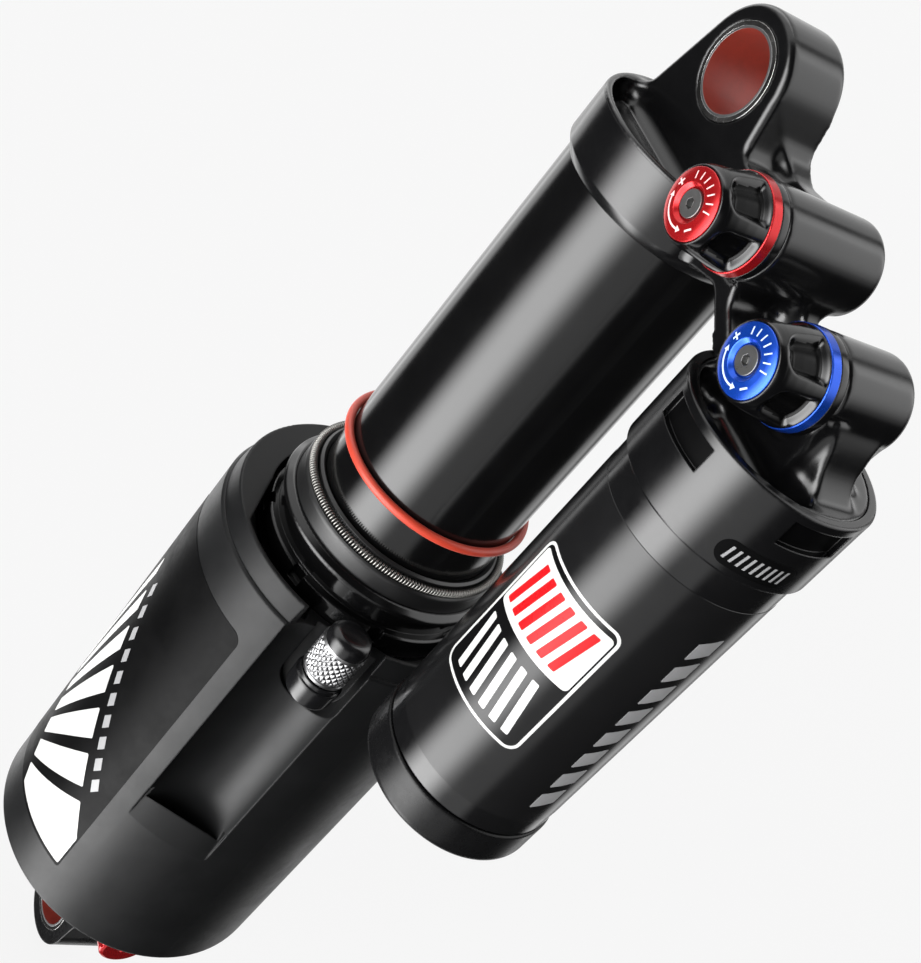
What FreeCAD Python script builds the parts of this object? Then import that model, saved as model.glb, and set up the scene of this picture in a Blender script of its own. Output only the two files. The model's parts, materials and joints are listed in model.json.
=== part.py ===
import FreeCAD, Part
import Sketcher
import math
import os

# Piggyback air shock. Origin: centre of the lower eyelet bore.
# +Z runs up the shock to the upper eyelet, +X points to the reservoir,
# Y is the direction of both eyelet bores; the adjuster knobs face -Y.

os.makedirs("parts", exist_ok=True)
doc = FreeCAD.newDocument("rear_shock")
V = FreeCAD.Vector

# ------------------------------------------------------------------
# Driving dimensions, millimetres
# ------------------------------------------------------------------
DIMENSIONS = [
    ("eye_to_eye", 222.0, "eyelet centre to eyelet centre, fully extended"),
    ("eyelet_rad", 10.34, "outside radius of both eyelets"),
    ("eyelet_half", 5.92, "half width of both eyelets"),
    ("bush_rad", 7.5, "outside radius of the steel bushing shell"),
    ("bush_mid_rad", 6.75, "shell to liner"),
    ("bush_bore_rad", 6.35, "bore for the mounting hardware"),
    ("tube_rad", 16.86, "damper tube outside radius"),
    ("tube_in_rad", 15.0, "damper tube bore radius"),
    ("tube_bottom", 100.0, "lower end of the damper tube"),
    ("tube_top", 203.0, "upper end of the damper tube, inside the head collar"),
    ("collar_bottom", 198.0, "lower edge of the head collar"),
    ("collar_top", 208.9, "upper rim of the head collar"),
    ("collar_rad", 18.1, "head collar outside radius"),
    ("can_rad", 28.6, "air can outside radius"),
    ("can_in_rad", 26.6, "air can bore radius"),
    ("can_bottom", 24.95, "lower edge of the air can"),
    ("can_top", 113.95, "upper edge of the air can"),
    ("ring_top", 118.25, "top face of the can's shoulder ring"),
    ("ring_rad", 28.05, "shoulder ring radius at the can"),
    ("ring_top_rad", 27.5, "shoulder ring radius at its top face"),
        ("facet_angle", -32.3, "valve side channel, direction in plan"),
    ("panel_half", 8.07, "half width of the channel between its two edges"),
    ("panel_low", 58.0, "foot of the bevel below the channel"),
    ("panel_lip", 64.4, "lip at the lower end of the channel"),
    ("trough_rad", 10.1, "radius of the concave channel under the valve"),
    ("trough_axis", 33.5, "distance of the channel axis from the main axis"),
    ("sleeve_in_rad", 19.9, "air sleeve bore radius"),
    ("sleeve_rad", 21.0, "air sleeve outside radius"),
    ("flange_rad", 21.4, "seal head flange radius"),
    ("flange_top", 123.5, "seal head flange top"),
    ("wiper_top", 128.9, "wiper lip upper edge"),
    ("garter_major", 18.95, "garter spring ring radius"),
    ("garter_minor", 0.78, "garter spring coil radius"),
    ("garter_height", 127.7, "garter spring height"),
    ("sag_height", 137.1, "travel marker height at rest"),
    ("sag_minor", 0.78, "travel marker section radius"),
    ("shaft_rad", 6.35, "damper shaft radius"),
    ("rod_bore_rad", 1.8, "bore of the damper shaft"),
    ("rod_rad", 1.75, "metering rod radius"),
    ("res_x", 47.2, "reservoir axis from the main axis"),
    ("res_rad", 15.2, "reservoir tube radius"),
    ("res_in_rad", 13.6, "reservoir bore radius"),
    ("res_bottom", 116.3, "lower end of the reservoir"),
    ("res_cap_top", 123.9, "seam between reservoir tube and end cap"),
    ("res_collar_rad", 16.05, "reservoir collar radius"),
    ("res_collar_low", 183.5, "reservoir collar lower edge"),
    ("res_collar_high", 197.3, "reservoir collar top"),
    ("boss_rad", 7.2, "adjuster boss radius"),
    ("reb_x", 26.4, "rebound boss axis, X"),
    ("reb_z", 213.2, "rebound boss axis, Z"),
    ("reb_front", 9.85, "rebound boss front face, distance towards the knob"),
    ("reb_back", 10.2, "rebound boss rear end"),
    ("comp_z", 206.5, "compression boss axis, Z"),
    ("comp_front", 4.95, "compression boss front face"),
    ("comp_back", 8.9, "compression boss rear end"),
    ("knob_rad", 7.0, "knob skirt radius"),
    ("knob_face_rad", 5.06, "knob disc radius"),
    ("valve_x", 23.75, "air valve, X"),
    ("valve_y", -12.84, "air valve, Y"),
    ("valve_base", 109.4, "underside of the valve cap"),
    ("valve_cap_rad", 4.2, "valve cap radius"),
    ("valve_cap_len", 10.2, "valve cap length"),
    ("low_knob_z", 13.2, "lower rebound adjuster axis, Z"),
]
sheet = doc.addObject("Spreadsheet::Sheet", "Dims")
for row, (alias, value, note) in enumerate(DIMENSIONS, 1):
    sheet.set("A%d" % row, note)
    sheet.set("B%d" % row, "%.6g" % value)
    sheet.setAlias("B%d" % row, alias)
doc.recompute()


class Dim:
    """A length with its value and the sheet expression that drives it."""

    def __init__(self, value, text):
        self.value = float(value)
        self.text = text

    def __add__(self, other):
        other = dim(other)
        return Dim(self.value + other.value, "(%s + %s)" % (self.text, other.text))

    __radd__ = __add__

    def __sub__(self, other):
        other = dim(other)
        return Dim(self.value - other.value, "(%s - %s)" % (self.text, other.text))

    def __rsub__(self, other):
        return dim(other) - self

    def __mul__(self, other):
        other = dim(other)
        return Dim(self.value * other.value, "(%s * %s)" % (self.text, other.text))

    __rmul__ = __mul__

    def __neg__(self):
        return Dim(-self.value, "(0 - %s)" % self.text)


def dim(value):
    if isinstance(value, Dim):
        return value
    return Dim(value, "(%.6f)" % value)


D = dict((alias, Dim(value, "Dims.%s" % alias)) for alias, value, note in DIMENSIONS)
made = {}


def bind(obj, prop, value):
    """Sets a property and ties it to the sheet when the value comes from there."""
    value = dim(value)
    if "Dims." in value.text:
        obj.setExpression(prop, value.text)
    return value.value


def place(obj, pos=(0, 0, 0), axis=None, angle=0.0):
    rot = FreeCAD.Rotation(V(*axis), angle) if axis else FreeCAD.Rotation()
    vals = [dim(p) for p in pos]
    obj.Placement = FreeCAD.Placement(V(*[v.value for v in vals]), rot)
    for letter, v in zip("xyz", vals):
        if "Dims." in v.text:
            obj.setExpression("Placement.Base.%s" % letter, v.text)
    return obj


# ------------------------------------------------------------------
# Profiles
# ------------------------------------------------------------------
def corners(points):
    """Turns [(a, b), (a, b, round), (a, b, -chamfer)] into lines and arcs."""
    pts = [(dim(p[0]), dim(p[1]), (p[2] if len(p) > 2 else 0.0)) for p in points]
    n = len(pts)
    vertices = []
    for i in range(n):
        a, b, f = pts[i]
        if not f:
            vertices.append(((a, b), (a, b), 0.0))
            continue
        c = abs(f)
        pa, pb, _ = pts[i - 1]
        na, nb, _ = pts[(i + 1) % n]

        def unit(x, y):
            length = math.hypot(x, y)
            return x / length, y / length

        ix, iy = unit(a.value - pa.value, b.value - pb.value)
        ox, oy = unit(na.value - a.value, nb.value - b.value)
        start = (a - ix * c if abs(ix) > 1e-9 else a, b - iy * c if abs(iy) > 1e-9 else b)
        end = (a + ox * c if abs(ox) > 1e-9 else a, b + oy * c if abs(oy) > 1e-9 else b)
        radius = 0.0
        if f > 0:
            turn = math.acos(max(-1, min(1, ix * ox + iy * oy)))
            radius = c / math.tan(turn / 2)
            radius *= 1.0 if ix * oy - iy * ox > 0 else -1.0
        vertices.append((start, end, radius if f > 0 else None))
    segments = []
    for i in range(n):
        start, end, radius = vertices[i]
        if radius is None:
            segments.append(("line", start, end, 0.0))
        elif radius:
            segments.append(("arc", start, end, radius))
        nxt = vertices[(i + 1) % n][0]
        if math.hypot(nxt[0].value - end[0].value, nxt[1].value - end[1].value) > 1e-6:
            segments.append(("line", end, nxt, 0.0))
    return segments


def fill_sketch(sk, points):
    segments = corners(points)
    starts = []
    for kind, p, q, radius in segments:
        p3 = V(p[0].value, p[1].value, 0)
        q3 = V(q[0].value, q[1].value, 0)
        if kind == "line":
            sk.addGeometry(Part.LineSegment(p3, q3), False)
            starts.append((1, 2))
        else:
            r = abs(radius)
            mid = (p3 + q3) * 0.5
            half = (q3 - p3).Length / 2
            height = math.sqrt(max(r * r - half * half, 0))
            d = (q3 - p3).normalize()
            left = V(-d.y, d.x, 0)
            centre = mid + left * (height if radius > 0 else -height)
            a0 = math.atan2(p3.y - centre.y, p3.x - centre.x)
            a1 = math.atan2(q3.y - centre.y, q3.x - centre.x)
            circle = Part.Circle(centre, V(0, 0, 1), r)
            if radius > 0:
                sk.addGeometry(Part.ArcOfCircle(circle, a0, a1), False)
                starts.append((1, 2))
            else:
                sk.addGeometry(Part.ArcOfCircle(circle, a1, a0), False)
                starts.append((2, 1))
    count = len(segments)
    for i in range(count):
        j = (i + 1) % count
        sk.addConstraint(Sketcher.Constraint("Coincident", i, starts[i][1], j, starts[j][0]))
    for i, (kind, p, q, radius) in enumerate(segments):
        s = starts[i][0]
        for k, (word, value) in enumerate((("DistanceX", p[0]), ("DistanceY", p[1]))):
            if abs(value.value) < 1e-9:
                sk.addConstraint(Sketcher.Constraint("PointOnObject", i, s, -2 if k == 0 else -1))
                continue
            number = sk.addConstraint(Sketcher.Constraint(word, -1, 1, i, s, value.value))
            if "Dims." in value.text:
                name = "%s%d" % ("across" if k == 0 else "along", i)
                sk.renameConstraint(number, name)
                sk.setExpression("Constraints.%s" % name, value.text)
        if kind == "arc":
            sk.addConstraint(Sketcher.Constraint("Radius", i, abs(radius)))
    return sk


def turned(name, points, pos=(0, 0, 0), axis=None, angle=0.0, label=None):
    """A part turned on a lathe: points are (radius, height)."""
    body = doc.addObject("PartDesign::Body", name)
    body.Label = label or name
    sk = body.newObject("Sketcher::SketchObject", name + "_profile")
    plane = [f for f in body.Origin.OriginFeatures if f.Role == "XZ_Plane"][0]
    sk.AttachmentSupport = [(plane, "")]
    sk.MapMode = "FlatFace"
    fill_sketch(sk, points)
    rev = body.newObject("PartDesign::Revolution", name + "_turning")
    rev.Profile = sk
    rev.ReferenceAxis = (sk, ["V_Axis"])
    rev.Angle = 360.0
    place(body, pos, axis, angle)
    return body


def ring(name, r_in, r_out, low, high, edge=0.0, **kw):
    r_in, r_out, low, high = dim(r_in), dim(r_out), dim(low), dim(high)
    return turned(
        name,
        [(r_in, low, edge), (r_out, low, edge), (r_out, high, edge), (r_in, high, edge)],
        **kw
    )


def disc(name, r_out, low, high, edge=0.0, **kw):
    return turned(name, [(0, low), (r_out, low, edge), (r_out, high, edge), (0, high)], **kw)


SIDEWAYS = dict(axis=(1, 0, 0), angle=90.0)  # local +Z becomes -Y


def slab(name, points, y_from, y_to):
    """A plate outlined in X and Z, between two Y values."""
    y_from, y_to = dim(y_from), dim(y_to)
    sk = doc.addObject("Sketcher::SketchObject", name + "_outline")
    fill_sketch(sk, points)
    place(sk, (0, y_to, 0), (1, 0, 0), 90.0)
    ex = doc.addObject("Part::Extrusion", name)
    ex.Base = sk
    ex.DirMode = "Custom"
    ex.Dir = V(0, -1, 0)
    length = y_to - y_from
    ex.LengthFwd = length.value
    bind(ex, "LengthFwd", length)
    ex.Solid = True
    return ex


def plan(name, points, z_from, z_to):
    """A plate outlined in X and Y, between two heights."""
    z_from, z_to = dim(z_from), dim(z_to)
    sk = doc.addObject("Sketcher::SketchObject", name + "_outline")
    fill_sketch(sk, points)
    place(sk, (0, 0, z_from))
    ex = doc.addObject("Part::Extrusion", name)
    ex.Base = sk
    ex.DirMode = "Custom"
    ex.Dir = V(0, 0, 1)
    length = z_to - z_from
    ex.LengthFwd = length.value
    bind(ex, "LengthFwd", length)
    ex.Solid = True
    return ex


def box(name, size, pos, axis=None, angle=0.0):
    b = doc.addObject("Part::Box", name)
    for prop, s in zip(("Length", "Width", "Height"), size):
        setattr(b, prop, dim(s).value)
        bind(b, prop, s)
    return place(b, pos, axis, angle)


def cylinder(name, radius, height, pos, axis=None, angle=0.0):
    c = doc.addObject("Part::Cylinder", name)
    c.Radius = dim(radius).value
    c.Height = dim(height).value
    bind(c, "Radius", radius)
    bind(c, "Height", height)
    return place(c, pos, axis, angle)


def cross(name, radius, x, z, y_from, y_to):
    """A cylinder across the shock, along Y."""
    y_from, y_to = dim(y_from), dim(y_to)
    return cylinder(name, radius, y_to - y_from, (x, y_to, z), (1, 0, 0), 90.0)


def fuse(name, shapes):
    f = doc.addObject("Part::MultiFuse", name)
    f.Shapes = shapes
    f.Refine = True
    return f


def common(name, shapes):
    f = doc.addObject("Part::MultiCommon", name)
    f.Shapes = shapes
    return f


def cut(name, base, tools):
    tool = tools[0]
    if len(tools) > 1:
        tool = doc.addObject("Part::MultiFuse", name + "_tools")
        tool.Shapes = tools
    c = doc.addObject("Part::Cut", name)
    c.Base = base
    c.Tool = tool
    c.Refine = True
    return c


def group(name, members):
    g = doc.addObject("Part::Compound", name)
    g.Links = members
    return g


def edges_where(obj, test):
    """Numbers of the edges whose points all pass the test."""
    doc.recompute()
    found = []
    for i, e in enumerate(obj.Shape.Edges, 1):
        if e.Length < 1e-3:
            continue
        pts = [e.valueAt(e.FirstParameter + (e.LastParameter - e.FirstParameter) * k / 4.0) for k in range(5)]
        if all(test(p) for p in pts):
            found.append(i)
    return found


def round_edges(name, base, picks):
    """Rounds edges, dropping to a smaller radius or to none if the shape refuses."""
    for scale in (1.0, 0.6, 0.35):
        f = doc.addObject("Part::Fillet", name)
        f.Base = base
        f.Edges = [(n, r * scale, r * scale) for n, r in picks]
        doc.recompute()
        if f.isValid() and not f.Shape.isNull() and f.Shape.isValid() and f.Shape.Solids:
            return f
        doc.removeObject(f.Name)
    return base


def node(name, obj):
    obj.Label = name
    made[name] = obj
    return obj


def away_from_axis(p, x=0.0, y=0.0):
    return math.hypot(p.x - x, p.y - y)

C15, S15, T15 = math.cos(math.radians(15)), math.sin(math.radians(15)), math.tan(math.radians(15))

# ------------------------------------------------------------------
# Head casting: collar, eyelet, bridge, adjuster bosses, reservoir cap
# ------------------------------------------------------------------
head_collar = turned("head_collar", [
    (D["tube_rad"], D["collar_bottom"]),
    (D["collar_rad"] - 0.05, D["collar_bottom"] + 1.8),
    (D["collar_rad"], D["collar_top"], 0.5),
    (D["collar_rad"] - 1.05, D["collar_top"], 0.15),
    (D["collar_rad"] - 1.05, D["tube_top"] + 2.4),
    (0, D["tube_top"] + 2.4),
    (0, D["tube_top"]),
    (D["tube_rad"], D["tube_top"]),
])
eyelet_barrel = cross("head_eyelet_barrel", D["eyelet_rad"], 0, D["eye_to_eye"], -D["eyelet_half"], D["eyelet_half"])
foot = D["tube_top"] + 1.0
foot_half = D["eyelet_rad"] * (1 / C15) + (D["eye_to_eye"] - foot) * T15
eyelet_plate = slab("head_eyelet_plate", [
    (-foot_half, foot),
    (foot_half, foot),
    (D["eyelet_rad"] * C15, D["eye_to_eye"] + D["eyelet_rad"] * S15),
    (-(D["eyelet_rad"] * C15), D["eye_to_eye"] + D["eyelet_rad"] * S15),
], -D["eyelet_half"], D["eyelet_half"])
eyelet_joined = fuse("head_eyelet_joined", [eyelet_barrel, eyelet_plate])
doc.recompute()


def chamfer_edges(name, base, picks):
    for scale in (1.0, 0.5):
        f = doc.addObject("Part::Chamfer", name)
        f.Base = base
        f.Edges = [(n, r * scale, r * scale) for n, r in picks]
        doc.recompute()
        if f.isValid() and not f.Shape.isNull() and f.Shape.isValid() and f.Shape.Solids:
            return f
        doc.removeObject(f.Name)
    return base


eyelet_block = chamfer_edges("head_eyelet_chamfer", eyelet_joined, [
    (n, 0.75) for n in edges_where(eyelet_joined, lambda p: abs(abs(p.y) - D["eyelet_half"].value) < 1e-4 and p.z > foot.value + 1e-3 or
                                   abs(abs(p.y) - D["eyelet_half"].value) < 1e-4 and abs(p.x) > 8 and p.z > foot.value - 1e-3)
    if abs(eyelet_joined.Shape.Edges[n - 1].BoundBox.ZMax - eyelet_joined.Shape.Edges[n - 1].BoundBox.ZMin) > 1e-3])
# block behind the rebound knob, from the neck to the boss
neck_block = slab("head_neck_block", [
    (6.0, foot), (16.95, foot), (17.1, 200.3), (18.3, 200.5), (24.6, 202.35), (27.0, 204.0),
    (27.0, 213.0), (21.0, 215.9), (6.0, 215.9),
], -D["eyelet_half"], D["eyelet_half"])
# web that runs from the eyelet over to the boss, scooped away on its knob side
neck_web = slab("head_neck_web", [
    (6.0, 210.0), (16.0, 210.0), (26.4, 210.0), (26.4, 219.8), (21.5, 218.4), (15.4, 217.4, 1.2),
    (11.5, 219.3, 1.5), (D["eyelet_rad"] * C15, D["eye_to_eye"] + D["eyelet_rad"] * S15), (6.0, 223.0),
], -D["eyelet_half"], D["eyelet_half"])
web_scoop = box("head_web_scoop", (30.0, 20.0, 24.0), (4.0, -6.57, 197.49), (1, 0, 0), 45.0)
neck_web_cut = cut("head_neck_web_cut", neck_web, [web_scoop])
rebound_boss = cross("head_rebound_boss", D["boss_rad"], D["reb_x"], D["reb_z"], -D["reb_front"], D["reb_back"])
rebound_boss = round_edges("head_rebound_boss_round", rebound_boss,
                           [(n, 1.4) for n in edges_where(rebound_boss, lambda p: p.y > 10.1)]
                           + [(n, 0.35) for n in edges_where(rebound_boss, lambda p: p.y < -9.8)])
comp_boss = cross("head_comp_boss", D["boss_rad"], D["res_x"], D["comp_z"], -D["comp_front"], D["comp_back"])
comp_boss = round_edges("head_comp_boss_round", comp_boss,
                        [(n, 1.4) for n in edges_where(comp_boss, lambda p: p.y > 8.8)]
                        + [(n, 0.35) for n in edges_where(comp_boss, lambda p: p.y < -4.9)])
# bridge between the bosses: a sloping floor with a wall along its rear side
bridge_floor = slab("head_bridge_floor", [
    (20.0, 204.9), (38.0, 194.0), (39.66, 196.74), (21.66, 207.64),
], -6.0, 6.0)
bridge_wall = slab("head_bridge_wall", [
    (20.0, 204.9), (38.0, 194.0), (42.43, 201.31), (24.43, 212.21),
], 3.2, 6.2)
# reservoir cap with a pocket in front of the compression boss
cap_floor = cylinder("head_cap_floor", D["res_collar_rad"] - 1.45, 6.2, (D["res_x"], 0, D["res_collar_high"] - 11.3))
cap_disc = cylinder("head_cap_disc", D["res_collar_rad"] - 1.45, 5.2, (D["res_x"], 0, D["res_collar_high"] - 5.2))
cap_area = plan("head_cap_area", [
    (31.0, -3.7), (48.5, -4.2), (63.0, -0.4), (63.0, 17.0), (31.0, 17.0),
], D["res_collar_high"] - 6.0, D["res_collar_high"])
cap_upper = common("head_cap_upper", [cap_disc, cap_area])
cap_rim = ring("head_cap_rim", D["res_collar_rad"] - 2.0, D["res_collar_rad"] - 1.45,
               D["res_collar_high"] - 6.0, D["res_collar_high"], pos=(D["res_x"], 0, 0))
pedestal = slab("head_pedestal", [(40.6, 188.0), (53.8, 188.0), (54.0, 205.0), (40.4, 205.0)], -4.2, 8.0)
gusset_side = slab("head_gusset_side", [
    (47.0, 195.0), (59.6, 195.0), (59.0, 197.3), (56.9, 200.0, 1.5), (55.6, 203.8, 1.5), (53.8, 207.6), (50.0, 210.5), (47.0, 208.5),
], -6.0, 9.5)
gusset_plan = plan("head_gusset_plan", [(46.0, -4.5), (59.8, -0.9), (59.8, 4.5), (46.0, 8.4)], 194.0, 212.0)
gusset = common("head_gusset", [gusset_side, gusset_plan])
head_solid = fuse("head_solid", [
    head_collar, eyelet_block, neck_block, neck_web_cut, rebound_boss, comp_boss,
    bridge_floor, bridge_wall, cap_floor, cap_upper, cap_rim, pedestal, gusset,
])
collar_room = ring("head_collar_room", D["res_collar_rad"] - 1.45, D["res_collar_rad"] + 1.5, D["res_collar_low"], D["res_collar_high"] + 0.02,
                   pos=(D["res_x"], 0, 0))

R_OFF = 22.0  # knob frame: local zero lies this far behind the boss's front face


def boss_holes(tag, x, z, front, back):
    """Stem bore, needle bore, oil passage, plug bore and detent hole of one adjuster."""
    return [
        cross(tag + "_stem_bore", 4.0, x, z, -front - 1.0, -front + 6.5),
        cross(tag + "_needle_bore", 2.0, x, z, -front, -front + 12.5),
        cross(tag + "_plug_bore", 4.5, x, z, back - 1.5, back + 1.0),
        cross(tag + "_detent_bore", 0.8, x + 5.6, z, -front - 1.0, -front + 3.6),
    ]


oil_gallery = cylinder("head_oil_gallery", 1.5, 9.5, (11.0, 1.0, 202.0), (0, 1, 0), 57.0)
bridge_gallery = cylinder("head_bridge_gallery", 0.9, 17.5, (26.5, 4.6, 206.8), (0, 1, 0), 121.2)
head_casting = cut("head_casting", head_solid, [
    cross("head_eyelet_bore", D["bush_rad"], 0, D["eye_to_eye"], -8.0, 8.0),
] + boss_holes("reb", D["reb_x"], D["reb_z"], D["reb_front"], D["reb_back"])
  + boss_holes("comp", D["res_x"], D["comp_z"], D["comp_front"], D["comp_back"])
  + [
    cylinder("head_valve_thread", 2.5, 5.0, (D["res_x"], 0, D["res_collar_high"] - 12.0)),
    oil_gallery,
    bridge_gallery,
    collar_room,
])
node("head_casting", head_casting)


def bushing(prefix, z):
    shell = ring(prefix + "_bushing_shell", D["bush_mid_rad"], D["bush_rad"], 0, D["eyelet_half"] * 2, 0.0,
                 pos=(0, D["eyelet_half"], z), **SIDEWAYS)
    liner = ring(prefix + "_bushing_liner", D["bush_bore_rad"], D["bush_mid_rad"], 0, D["eyelet_half"] * 2, 0.0,
                 pos=(0, D["eyelet_half"], z), **SIDEWAYS)
    node(prefix + "_bushing_shell", shell)
    node(prefix + "_bushing_liner", liner)


bushing("upper", D["eye_to_eye"])
bushing("lower", 0)

# ------------------------------------------------------------------
# Damper tube and the air piston on its lower end
# ------------------------------------------------------------------
node("damper_tube", turned("damper_tube", [
    (D["tube_in_rad"], D["tube_bottom"]), (D["tube_rad"], D["tube_bottom"]),
    (D["tube_rad"], D["tube_top"] - 3.0), (D["tube_rad"] - 0.9, D["tube_top"] - 3.0),
    (D["tube_rad"] - 0.9, D["tube_top"] - 1.4), (D["tube_rad"], D["tube_top"] - 1.4),
    (D["tube_rad"], D["tube_top"]), (D["tube_in_rad"], D["tube_top"]),
]))
node("damper_tube_oring", ring("damper_tube_oring", D["tube_rad"] - 0.88, D["tube_rad"], D["tube_top"] - 2.9, D["tube_top"] - 1.5))
pb = D["tube_bottom"]
node("air_piston", turned("air_piston", [
    (14.2, pb - 2.5), (19.5, pb - 2.5, -0.3), (19.5, pb - 0.6), (17.9, pb - 0.6), (17.9, pb + 2.4),
    (19.5, pb + 2.4), (19.5, pb + 4.0), (18.5, pb + 4.0), (18.5, pb + 7.0), (19.5, pb + 7.0),
    (19.5, pb + 8.0, -0.3), (D["tube_rad"], pb + 8.0), (D["tube_rad"], pb), (D["tube_in_rad"], pb),
    (D["tube_in_rad"], pb + 6.0), (7.6, pb + 6.0), (7.6, pb + 3.2), (9.0, pb + 3.2), (9.0, pb + 1.5),
    (14.2, pb + 1.5),
]))
node("air_piston_seal", ring("air_piston_seal", 17.9, D["sleeve_in_rad"] - 0.02, pb - 0.5, pb + 2.3, 0.4))
node("air_piston_glide_band", ring("air_piston_glide_band", 18.5, D["sleeve_in_rad"] - 0.05, pb + 4.1, pb + 6.9))
node("shaft_bushing", ring("shaft_bushing", D["shaft_rad"] + 0.05, 7.6, pb + 3.3, pb + 6.0))
node("shaft_seal", ring("shaft_seal", D["shaft_rad"] + 0.03, 9.0, pb + 1.5, pb + 3.1, 0.3))
node("topout_bumper", ring("topout_bumper", D["tube_rad"] + 0.1, 19.3, pb + 8.0, pb + 10.5, 0.5))

# ------------------------------------------------------------------
# Reservoir
# ------------------------------------------------------------------
AT_RES = dict(pos=(D["res_x"], 0, 0))
collar_blank = turned("reservoir_collar_blank", [
    (D["res_rad"], D["res_collar_low"]), (D["res_collar_rad"], D["res_collar_low"], -0.45),
    (D["res_collar_rad"], D["res_collar_high"], 0.5), (D["res_collar_rad"] - 1.45, D["res_collar_high"]),
    (D["res_collar_rad"] - 1.45, D["res_collar_low"] + 2.5), (D["res_rad"], D["res_collar_low"] + 2.5),
], **AT_RES)
slot_band = ring("reservoir_slot_band", D["res_collar_rad"] - 1.05, D["res_collar_rad"] + 2.0,
                 D["res_collar_high"] - 5.7, D["res_collar_high"] - 1.5, **AT_RES)
slot_x = box("reservoir_slot_x", (44.0, 10.9, 6.0), (D["res_x"] - 22.0, -5.45, D["res_collar_high"] - 6.6))
slot_y = box("reservoir_slot_y", (10.9, 44.0, 6.0), (D["res_x"] - 5.45, -22.0, D["res_collar_high"] - 6.6))
slot_cross = fuse("reservoir_slot_cross", [slot_x, slot_y])
node("reservoir_collar", cut("reservoir_collar", collar_blank, [common("reservoir_slots", [slot_band, slot_cross])]))
node("reservoir_tube", turned("reservoir_tube", [
    (D["res_in_rad"], D["res_cap_top"]), (D["res_rad"], D["res_cap_top"], -0.25),
    (D["res_rad"], D["res_collar_low"] + 2.5), (D["res_in_rad"], D["res_collar_low"] + 2.5),
], **AT_RES))
node("reservoir_end_cap", turned("reservoir_end_cap", [
    (3.0, D["res_bottom"]), (D["res_rad"] + 0.35, D["res_bottom"], 1.7), (D["res_rad"] + 0.35, D["res_cap_top"] - 0.15, 0.4),
    (D["res_in_rad"], D["res_cap_top"] - 0.15), (D["res_in_rad"], D["res_cap_top"] + 1.0),
    (D["res_in_rad"] - 1.0, D["res_cap_top"] + 1.0), (D["res_in_rad"] - 1.0, D["res_cap_top"] + 2.5),
    (D["res_in_rad"], D["res_cap_top"] + 2.5), (D["res_in_rad"], D["res_cap_top"] + 3.6),
    (11.6, D["res_cap_top"] + 3.6), (11.6, D["res_bottom"] + 3.2), (3.0, D["res_bottom"] + 3.2),
], **AT_RES))
node("reservoir_cap_oring", ring("reservoir_cap_oring", D["res_in_rad"] - 0.98, D["res_in_rad"],
                                 D["res_cap_top"] + 1.05, D["res_cap_top"] + 2.45, **AT_RES))
fill_blank = turned("reservoir_fill_blank", [
    (0, D["res_bottom"] + 0.6), (3.0, D["res_bottom"] + 0.6, -0.3), (3.0, D["res_bottom"] + 3.2),
    (4.4, D["res_bottom"] + 3.2), (4.4, D["res_bottom"] + 4.4, 0.3), (0, D["res_bottom"] + 4.4),
], **AT_RES)


def hexagon(name, radius, height, pos, axis=None, angle=0.0):
    p = doc.addObject("Part::Prism", name)
    p.Polygon = 6
    p.Circumradius = dim(radius).value
    p.Height = dim(height).value
    bind(p, "Circumradius", radius)
    bind(p, "Height", height)
    return place(p, pos, axis, angle)


node("reservoir_fill_screw", cut("reservoir_fill_screw", fill_blank, [
    hexagon("reservoir_fill_hex", 1.45, 2.2, (D["res_x"], 0, D["res_bottom"]))]))

top_res = D["res_collar_low"] + 2.5
valve_disc = ring("base_valve_disc", 2.55, D["res_in_rad"] - 0.02, top_res - 7.0, top_res, 0.2, **AT_RES)
valve_ports = [cylinder("base_valve_port_%d" % k, 1.5, 12.0,
                        (D["res_x"] + 8.6 * math.cos(math.radians(60 * k + 30)), 8.6 * math.sin(math.radians(60 * k + 30)),
                         top_res - 9.0)) for k in range(6)]
node("base_valve", cut("base_valve", valve_disc, valve_ports))
node("base_valve_shims", group("base_valve_shims", [
    ring("base_valve_shim_%d" % k, 2.55, r, top_res - 7.0 - 0.3 * (k + 1), top_res - 7.0 - 0.3 * k - 0.02, **AT_RES)
    for k, r in enumerate((11.4, 9.6, 7.8, 6.0))]))
bolt_blank = turned("base_valve_bolt_blank", [
    (0, top_res - 11.6), (4.4, top_res - 11.6, -0.3), (4.4, top_res - 8.22), (2.5, top_res - 8.22),
    (2.5, top_res + 4.2, -0.4), (0, top_res + 4.2),
], **AT_RES)
node("base_valve_bolt", cut("base_valve_bolt", bolt_blank, [
    hexagon("base_valve_bolt_hex", 2.0, 2.6, (D["res_x"], 0, top_res - 12.0))]))

# floating piston, with nitrogen below it and oil above
node("ifp_piston", turned("ifp_piston", [
    (0, 163.0), (9.0, 163.0), (9.0, 158.0), (D["res_in_rad"] - 0.1, 158.0, -0.3), (D["res_in_rad"] - 0.1, 159.6),
    (D["res_in_rad"] - 1.2, 159.6), (D["res_in_rad"] - 1.2, 162.0), (D["res_in_rad"] - 0.1, 162.0),
    (D["res_in_rad"] - 0.1, 164.4), (D["res_in_rad"] - 0.8, 164.4), (D["res_in_rad"] - 0.8, 166.8),
    (D["res_in_rad"] - 0.1, 166.8), (D["res_in_rad"] - 0.1, 168.0, -0.3), (0, 168.0),
], **AT_RES))
node("ifp_seal", ring("ifp_seal", D["res_in_rad"] - 1.2, D["res_in_rad"] - 0.03, 164.4 - 4.7, 161.9, 0.35, **AT_RES))
node("ifp_glide_band", ring("ifp_glide_band", D["res_in_rad"] - 0.8, D["res_in_rad"] - 0.04, 164.5, 166.7, **AT_RES))


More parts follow.
